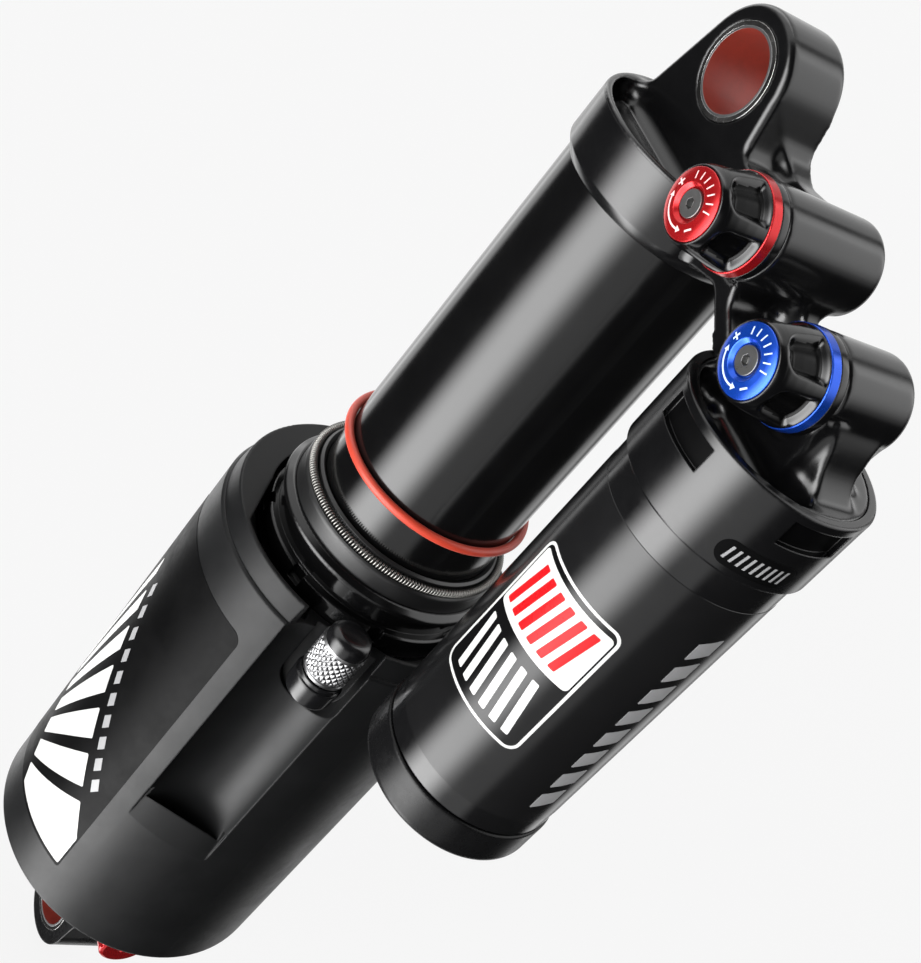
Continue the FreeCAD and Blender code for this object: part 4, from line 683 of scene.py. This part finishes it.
def film_on_cylinder(name, outline, cx, r, lift, thick, body, slot, material, step_deg=3.0, holes=()):
    """A film bounded by outline [(arc mm from +X direction, z mm)], wrapped on a cylinder about a vertical axis at cx."""
    bm = bmesh.new()
    loops = []
    for path in [outline, *holes]:
        vs = [bm.verts.new((p[0], p[1], 0)) for p in path]
        es = [bm.edges.new((vs[i], vs[(i + 1) % len(vs)])) for i in range(len(vs))]
        loops.append((vs, es))
    bmesh.ops.triangle_fill(bm, use_beauty=True, use_dissolve=False, edges=[e for _, es in loops for e in es])
    # slice along constant arc so that the film bends with the cylinder
    xs = [p[0] for p in outline]
    step = math.radians(step_deg) * r
    k = math.floor(min(xs) / step) + 1
    while k * step < max(xs):
        bmesh.ops.bisect_plane(bm, geom=bm.verts[:] + bm.edges[:] + bm.faces[:], plane_co=(k * step, 0, 0), plane_no=(1, 0, 0))
        k += 1
    bm.faces.ensure_lookup_table()
    top = [tuple(v.co) for v in bm.verts]
    bm.verts.index_update()
    tris = [[v.index for v in fc.verts] for fc in bm.faces]
    edges_count = {}
    for t in tris:
        for i in range(len(t)):
            e = (t[i], t[(i + 1) % len(t)])
            edges_count[frozenset(e)] = edges_count.get(frozenset(e), 0) + 1
    # make the winding point outwards
    fixed = []
    for t in tris:
        area = sum(top[t[i]][0] * top[t[(i + 1) % len(t)]][1] - top[t[(i + 1) % len(t)]][0] * top[t[i]][1] for i in range(len(t)))
        fixed.append(t if area > 0 else t[::-1])
    bm.free()
    verts, faces = [], []
    for rr in (r + lift + thick, r + lift):
        for s, z, _ in top:
            a = s / r
            verts.append((cx + rr * math.cos(a), rr * math.sin(a), z))
    n = len(top)
    for t in fixed:
        faces.append(t)
        faces.append([i + n for i in reversed(t)])
        for i in range(len(t)):
            a, b = t[i], t[(i + 1) % len(t)]
            if edges_count[frozenset((a, b))] == 1:
                faces.append((b, a, a + n, b + n))
    return piece(name, verts, faces, body, slot, material, sharp_deg=30)


def rounded(points, radius, steps=6):
    """Polygon with rounded corners."""
    out, n = [], len(points)
    for i in range(n):
        p, a, b = Vector(points[i]), Vector(points[i - 1]), Vector(points[(i + 1) % n])
        u, w = (a - p).normalized(), (b - p).normalized()
        half = math.acos(max(-1, min(1, u.dot(w)))) / 2
        rr = radius[i] if isinstance(radius, (list, tuple)) else radius
        if rr < 1e-6 or half > 1.55:
            out.append(tuple(p))
            continue
        d = min(rr / math.tan(half), (a - p).length * 0.49, (b - p).length * 0.49)
        rr = d * math.tan(half)
        c = p + (u + w).normalized() * (rr / math.sin(half))
        s, e = p + u * d - c, p + w * d - c
        a0 = math.atan2(s.y, s.x)
        da = (math.atan2(e.y, e.x) - a0 + math.pi) % TAU - math.pi
        out += [(c.x + rr * math.cos(a0 + da * k / steps), c.y + rr * math.sin(a0 + da * k / steps)) for k in range(steps + 1)]
    return out


def arc_at(deg, r):
    return math.radians(deg) * r


# reservoir: the tube's satin wrap, between its glossy bare ends
low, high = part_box("reservoir_tube")
res_r = (high.y - low.y) / 2 / MM
res_x = (high.x + low.x) / 2 / MM
wrap_profile_low, wrap_profile_high = 127.8, 178.6


def sleeve(name, cx, r, z0, z1, lift, thick, body, slot, material, cols=144):
    verts, faces = [], []
    rings = [(r + lift, z0), (r + lift + thick, z0 + thick), (r + lift + thick, z1 - thick), (r + lift, z1)]
    for rr, zz in rings:
        for i in range(cols):
            a = TAU * i / cols
            verts.append((cx + rr * math.cos(a), rr * math.sin(a), zz))
    n = len(rings)
    for j in range(n):
        k = (j + 1) % n
        for i in range(cols):
            m = (i + 1) % cols
            faces.append((j * cols + i, j * cols + m, k * cols + m, k * cols + i))
    return piece(name, verts, faces, body, slot, material, sharp_deg=30)


sleeve("reservoir_wrap_film", res_x, res_r, wrap_profile_low, wrap_profile_high, 0.005, 0.06, "damper_body", "reservoir_grey", M["graphic_wrap"])

# can side: a dark panel with a generic slanted-bar print
low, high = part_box("air_can")
can_r = (high.y - low.y) / 2 / MM


def on(r, *pts):
    return [(arc_at(a, r), z) for a, z in pts]


def bar(a, b, t0, t1):
    """Quad between two lines a and b, from t0 to t1 along them."""
    def at(line, t):
        return (line[0][0] + (line[1][0] - line[0][0]) * t, line[0][1] + (line[1][1] - line[0][1]) * t)
    return [at(a, t0), at(b, t0), at(b, t1), at(a, t1)]


film_on_cylinder("can_panel_film", rounded(on(can_r, (-128, 34.6), (-56.6, 34.6), (-56.6, 104.9), (-128, 104.9)), [2.0, 0.6, 2.2, 2.0]),
                 0, can_r, 0.004, 0.05, "air_can_assembly", "can_black", M["graphic_panel"], step_deg=2.5)
edge_a = on(can_r, (-94.0, 35.4), (-127.0, 60.0))
edge_b = on(can_r, (-57.4, 43.5), (-119.0, 95.0))
film_on_cylinder("can_print_block", rounded([*on(can_r, (-57.4, 35.4)), *[bar(edge_a, edge_b, 0, 0.13)[k] for k in (1, 2, 3, 0)]], 0.35),
                 0, can_r, 0.058, 0.03, "air_can_assembly", "can_black", M["graphic_white"], step_deg=2.5)
for k, (t0, t1) in enumerate(((0.18, 0.29), (0.34, 0.44), (0.49, 0.58), (0.63, 0.71), (0.76, 0.83), (0.88, 0.94))):
    film_on_cylinder("can_print_bar_%d" % (k + 1), rounded(bar(edge_a, edge_b, t0, t1), 0.3),
                     0, can_r, 0.058, 0.03, "air_can_assembly", "can_black", M["graphic_white"], step_deg=2.5)
tick_a = on(can_r, (-62.5, 52.0), (-118.0, 98.5))
tick_b = on(can_r, (-60.3, 53.8), (-115.8, 100.3))
for k in range(10):
    t0 = 0.04 + 0.078 * k
    film_on_cylinder("can_print_tick_%d" % (k + 1), bar(tick_a, tick_b, t0, t0 + 0.045),
                     0, can_r, 0.058, 0.03, "air_can_assembly", "can_black", M["graphic_grey"], step_deg=2.5)

# reservoir label: a framed plate of plain herringbone bars
frame_out = rounded(on(res_r, (-108.5, 139.6), (-36.2, 139.6), (-36.2, 166.6), (-108.5, 166.6)), 2.0)
frame_in = rounded([(arc_at(-108.5, res_r) + 0.5, 140.1), (arc_at(-36.2, res_r) - 0.5, 140.1),
                    (arc_at(-36.2, res_r) - 0.5, 166.1), (arc_at(-108.5, res_r) + 0.5, 166.1)], 1.55)
film_on_cylinder("reservoir_label_frame", frame_out, res_x, res_r, 0.068, 0.03, "damper_body", "reservoir_grey", M["graphic_white"], step_deg=3, holes=[frame_in])
film_on_cylinder("reservoir_label_ground", rounded([(arc_at(-108.5, res_r) + 0.52, 140.12), (arc_at(-36.2, res_r) - 0.52, 140.12),
                                                   (arc_at(-36.2, res_r) - 0.52, 166.08), (arc_at(-108.5, res_r) + 0.52, 166.08)], 1.5),
                 res_x, res_r, 0.066, 0.02, "damper_body", "reservoir_grey", M["graphic_label"], step_deg=3)
plate_l, plate_r = arc_at(-105.6, res_r), arc_at(-39.2, res_r)
film_on_cylinder("reservoir_label_plate", rounded([(plate_l, 153.6), (plate_r, 153.6), (plate_r, 165.2), (plate_l, 165.2)], 0.8),
                 res_x, res_r, 0.09, 0.02, "damper_body", "reservoir_grey", M["graphic_white"], step_deg=3)
span_mm = plate_r - plate_l
for k in range(6):
    s0 = plate_l + 0.9 + k * (span_mm - 3.0) / 6
    wide = (span_mm - 3.0) / 6 - 1.1
    film_on_cylinder("reservoir_label_red_%d" % (k + 1), rounded([(s0, 154.9), (s0 + wide, 154.9), (s0 + wide + 1.6, 164.0), (s0 + 1.6, 164.0)], 0.25),
                     res_x, res_r, 0.112, 0.02, "damper_body", "reservoir_grey", M["graphic_red"], step_deg=3)
    film_on_cylinder("reservoir_label_bar_%d" % (k + 1), rounded([(s0 + 1.6, 141.6), (s0 + wide + 1.6, 141.6), (s0 + wide, 151.6), (s0, 151.6)], 0.25),
                     res_x, res_r, 0.09, 0.02, "damper_body", "reservoir_grey", M["graphic_white"], step_deg=3)

low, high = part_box("reservoir_collar")
res_collar_r = (high.y - low.y) / 2 / MM

# reservoir flank: a row of grey slanted bars
for k in range(8):
    z0 = 131.5 + 5.2 * k
    film_on_cylinder("reservoir_flank_bar_%d" % (k + 1), rounded(on(res_r, (-3.5, z0), (10.5, z0 + 1.5), (10.5, z0 + 4.9), (-3.5, z0 + 3.4)), 0.2),
                     res_x, res_r, 0.068, 0.03, "damper_body", "reservoir_grey", M["graphic_grey"], step_deg=3)

# spanner slots of the reservoir collar: a near-black, dull film on each slot floor, painted shade for the deep slots
for k in range(4):
    a0 = 90.0 * k - 90.0
    film_on_cylinder("collar_slot_painted_shade_%d" % (k + 1), on(res_collar_r - 1.05, (a0 - 20.6, 191.7), (a0 + 20.6, 191.7), (a0 + 20.6, 195.7), (a0 - 20.6, 195.7)),
                     res_x, res_collar_r - 1.05, 0.01, 0.03, "damper_body", "reservoir_grey", M["slot_painted_shade"], step_deg=3)

# collar badge: a dark pill with plain ticks
low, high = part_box("reservoir_collar")
collar_r = (high.y - low.y) / 2 / MM
film_on_cylinder("collar_badge", rounded(on(collar_r, (-39.5, 184.9), (6.0, 184.9), (6.0, 189.0), (-39.5, 189.0)), 2.0),
                 res_x, collar_r, 0.004, 0.04, "damper_body", "reservoir_grey", M["graphic_panel"], step_deg=3)
for k in range(9):
    a0 = -34.5 + 4.1 * k
    film_on_cylinder("collar_badge_tick_%d" % (k + 1), on(collar_r, (a0, 185.8), (a0 + 1.5, 185.8), (a0 + 2.9, 188.1), (a0 + 1.4, 188.1)),
                     res_x, collar_r, 0.048, 0.02, "damper_body", "reservoir_grey", M["graphic_grey"], step_deg=3)


# adjuster discs: plain minus, plus and turning-arrow marks that follow the crowned face
def film_on_disc(name, outline, cx, cz, y_top, body, slot, material, lift=0.012, thick=0.03, step=0.4):
    bm = bmesh.new()
    vs = [bm.verts.new((p[0], p[1], 0)) for p in outline]
    es = [bm.edges.new((vs[i], vs[(i + 1) % len(vs)])) for i in range(len(vs))]
    bmesh.ops.triangle_fill(bm, use_beauty=True, use_dissolve=False, edges=es)
    for axis in (0, 1):
        lo_c, hi_c = min(p[axis] for p in outline), max(p[axis] for p in outline)
        k = math.floor(lo_c / step) + 1
        while k * step < hi_c:
            co, no = [0, 0, 0], [0, 0, 0]
            co[axis], no[axis] = k * step, 1
            bmesh.ops.bisect_plane(bm, geom=bm.verts[:] + bm.edges[:] + bm.faces[:], plane_co=co, plane_no=no)
            k += 1
    bm.verts.index_update()
    flat = [(v.co.x, v.co.y) for v in bm.verts]
    polys = [[v.index for v in fc.verts] for fc in bm.faces]
    bm.free()
    count, fixed = {}, []
    for t in polys:
        area = sum(flat[t[i]][0] * flat[t[(i + 1) % len(t)]][1] - flat[t[(i + 1) % len(t)]][0] * flat[t[i]][1] for i in range(len(t)))
        fixed.append(t if area > 0 else t[::-1])
        for i in range(len(t)):
            e = frozenset((t[i], t[(i + 1) % len(t)]))
            count[e] = count.get(e, 0) + 1
    radii = [0, 2.2, 2.85, 4.2, 5.06]
    depth = [0.56, 0.56, 0.0, 0.25, 0.58]
    verts, faces, n = [], [], len(flat)
    for up in (lift + thick, lift):
        for u, v in flat:
            verts.append((cx + u, y_top + float(np.interp(math.hypot(u, v), radii, depth)) - up, cz + v))
    for t in fixed:
        faces.append(t)
        faces.append([i + n for i in reversed(t)])
        for i in range(len(t)):
            a, b = t[i], t[(i + 1) % len(t)]
            if count[frozenset((a, b))] == 1:
                faces.append((b, a, a + n, b + n))
    return piece(name, verts, faces, body, slot, material, sharp_deg=30)


def arc_arrow(r0, r1, a0, a1, head):
    """A ribbon along a circle from a0 to a1 degrees with an arrow head at each end."""
    mid = (r0 + r1) / 2
    outer = [(r1, a0 + (a1 - a0) * k / 16) for k in range(17)]
    inner = [(r0, a1 + (a0 - a1) * k / 16) for k in range(17)]
    d = math.degrees(head / mid)
    path = outer + [(r1 + head * 0.45, a1), (mid, a1 + d), (r0 - head * 0.45, a1)] + inner + [(r0 - head * 0.45, a0), (mid, a0 - d), (r1 + head * 0.45, a0)]
    return [(r * math.cos(math.radians(a)), r * math.sin(math.radians(a))) for r, a in path]


def cross_mark(cx, cy, arm, half, turn, plus=True):
    if plus:
        pts = [(arm, -half), (arm, half), (half, half), (half, arm), (-half, arm), (-half, half), (-arm, half), (-arm, -half), (-half, -half), (-half, -arm), (half, -arm), (half, -half)]
    else:
        pts = [(arm, -half), (arm, half), (-arm, half), (-arm, -half)]
    c, s = math.cos(turn), math.sin(turn)
    return [(cx + x * c - y * s, cy + x * s + y * c) for x, y in pts]


for prefix, body_name, tint_name in (("rebound", "rebound_adjuster", "graphic_light_red"), ("compression", "compression_adjuster", "graphic_light_blue")):
    low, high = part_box(prefix + "_knob_disc")
    dcx, dcz, dy = (low.x + high.x) / 2 / MM, (low.z + high.z) / 2 / MM, low.y / MM
    film_on_disc(prefix + "_disc_arrow", arc_arrow(3.55, 3.85, 205, 290, 0.75), dcx, dcz, dy, body_name, "anodised_red", M[tint_name])
    film_on_disc(prefix + "_disc_plus", cross_mark(3.75 * math.cos(math.radians(170)), 3.75 * math.sin(math.radians(170)), 0.62, 0.13, math.radians(170)), dcx, dcz, dy, body_name, "anodised_red", M[tint_name])
    film_on_disc(prefix + "_disc_minus", cross_mark(3.75 * math.cos(math.radians(325)), 3.75 * math.sin(math.radians(325)), 0.62, 0.13, math.radians(325) + math.pi / 2, False), dcx, dcz, dy, body_name, "anodised_red", M[tint_name])
    for k in range(7):
        a = math.radians(20 + 18 * k)
        film_on_disc("%s_disc_tick_%d" % (prefix, k + 1), cross_mark(3.8 * math.cos(a), 3.8 * math.sin(a), 0.55, 0.1, a, False), dcx, dcz, dy, body_name, "anodised_red", M[tint_name])


# ---------------------------------------------------------------- stage: floor, light, camera
lo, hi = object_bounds()
floor_z = lo.z - 0.002
bm = bmesh.new()
bmesh.ops.create_grid(bm, x_segments=8, y_segments=8, size=6.0)
me = bpy.data.meshes.new("floor")
bm.to_mesh(me)
bm.free()
floor = bpy.data.objects.new("floor", me)
floor.location = (0, 0, floor_z)
bpy.context.scene.collection.objects.link(floor)
fm = bpy.data.materials.new("floor_pale")
fm.use_nodes = True
nt = fm.node_tree
nt.nodes.clear()
out = nt.nodes.new("ShaderNodeOutputMaterial")
geo = nt.nodes.new("ShaderNodeNewGeometry")
emi = nt.nodes.new("ShaderNodeEmission")
emi.inputs[0].default_value = (0.97, 0.97, 0.97, 1)
dif = nt.nodes.new("ShaderNodeBsdfDiffuse")
dif.inputs[0].default_value = (0.8, 0.8, 0.8, 1)
mx = nt.nodes.new("ShaderNodeMixShader")
mx.inputs[0].default_value = 0.12
tr = nt.nodes.new("ShaderNodeBsdfTransparent")
mb = nt.nodes.new("ShaderNodeMixShader")
nt.links.new(emi.outputs[0], mx.inputs[1])
nt.links.new(dif.outputs[0], mx.inputs[2])
nt.links.new(geo.outputs["Backfacing"], mb.inputs[0])
nt.links.new(mx.outputs[0], mb.inputs[1])
nt.links.new(tr.outputs[0], mb.inputs[2])
nt.links.new(mb.outputs[0], out.inputs[0])
me.materials.append(fm)
floor.visible_glossy = False
floor.visible_diffuse = False
floor.visible_transmission = False
floor.visible_shadow = False

world = bpy.data.worlds.new("studio")
bpy.context.scene.world = world
world.use_nodes = True
wt = world.node_tree
wt.nodes.clear()


class WorldNet(Net):
    def __init__(self, tree):
        self.t = tree


w = WorldNet(wt)
wout = w.add("ShaderNodeOutputWorld")
direction = w.add("ShaderNodeTexCoord").outputs["Generated"]
dx, dy, dz = w.xyz(direction)
azimuth = w.math("MULTIPLY", w.math("ARCTAN2", dy, dx), 180 / math.pi)
elev = w.math("MULTIPLY", w.math("ARCSINE", dz), 180 / math.pi)


def lobe(center, half, soft, e0=-75.0, e1=40.0, esoft=15.0):
    """1 within half degrees of the azimuth, falling to 0 over soft degrees."""
    d = w.math("SUBTRACT", azimuth, center)
    d = w.math("ABSOLUTE", w.math("WRAP", d, 180.0, -180.0))
    a = w.span(d, half + soft, half, 0, 1, smooth=True)
    b = w.span(elev, e0 - esoft, e0 + esoft, 0, 1, smooth=True)
    c = w.span(elev, e1 + esoft, e1 - esoft, 0, 1, smooth=True)
    return w.math("MULTIPLY", a, w.math("MULTIPLY", b, c))


parts = [
    (10.5, lobe(-75, 6, 32, -80, 30)),            # key strip light, front left
    (0.9, lobe(-28, 14, 12, -80, 25)),            # weak spill beside it
    (0.9, lobe(92, 5, 9, -90, 90)),               # backdrop, right edge
    (0.25, lobe(105, 10, 8, -90, 90)),
    (1.0, lobe(145, 26, 10, -90, 90)),            # backdrop behind the object
    (1.3, lobe(180, 7, 8, -90, 90)),
    (2.2, lobe(60, 20, 30, 15, 75)),              # high fill from the back right
    (1.6, lobe(-150, 25, 30, 20, 80)),            # high fill from the left
]
acc = None
for gain, node_out in parts:
    term = w.math("MULTIPLY", node_out, gain)
    acc = term if acc is None else w.math("ADD", acc, term)
acc = w.math("ADD", acc, 0.018)
lp = w.add("ShaderNodeLightPath")
acc = w.math("MULTIPLY", acc, w.lerp(lp.outputs["Is Diffuse Ray"], 1.0, 0.42))
bg = w.add("ShaderNodeBackground")
w.put(bg.inputs["Strength"], acc)
bg.inputs["Color"].default_value = (1, 1, 1, 1)
pale = w.add("ShaderNodeBackground")
pale.inputs["Color"].default_value = (0.97, 0.97, 0.97, 1)
ms = w.add("ShaderNodeMixShader")
w.put(ms.inputs[0], lp.outputs["Is Camera Ray"])
wt.links.new(bg.outputs[0], ms.inputs[1])
wt.links.new(pale.outputs[0], ms.inputs[2])
wt.links.new(ms.outputs[0], wout.inputs[0])

bpy.context.scene.view_settings.view_transform = "Standard"
bpy.context.scene.view_settings.look = "None"

cam_data = bpy.data.cameras.new("camera")
cam = bpy.data.objects.new("camera", cam_data)
bpy.context.scene.collection.objects.link(cam)
bpy.context.scene.camera = cam
right = Vector((0.282983, 0.780489, 0.557456))
up = Vector((-0.718411, -0.212592, 0.662337))
back = Vector((0.635458, -0.587913, 0.500552))
m = Matrix((right, up, back)).transposed().to_4x4()
m.translation = Vector((173.981, -161.705, 284.030)) * MM
cam.matrix_world = m
cam_data.sensor_width = 36.0
cam_data.lens = 1651.536 / 963 * 36.0
cam_data.shift_x = (460.5 - 468.045) / 963
cam_data.shift_y = (430.907 - 481.5) / 963
cam_data.clip_start = 0.01
cam_data.clip_end = 50.0

bpy.context.view_layer.update()
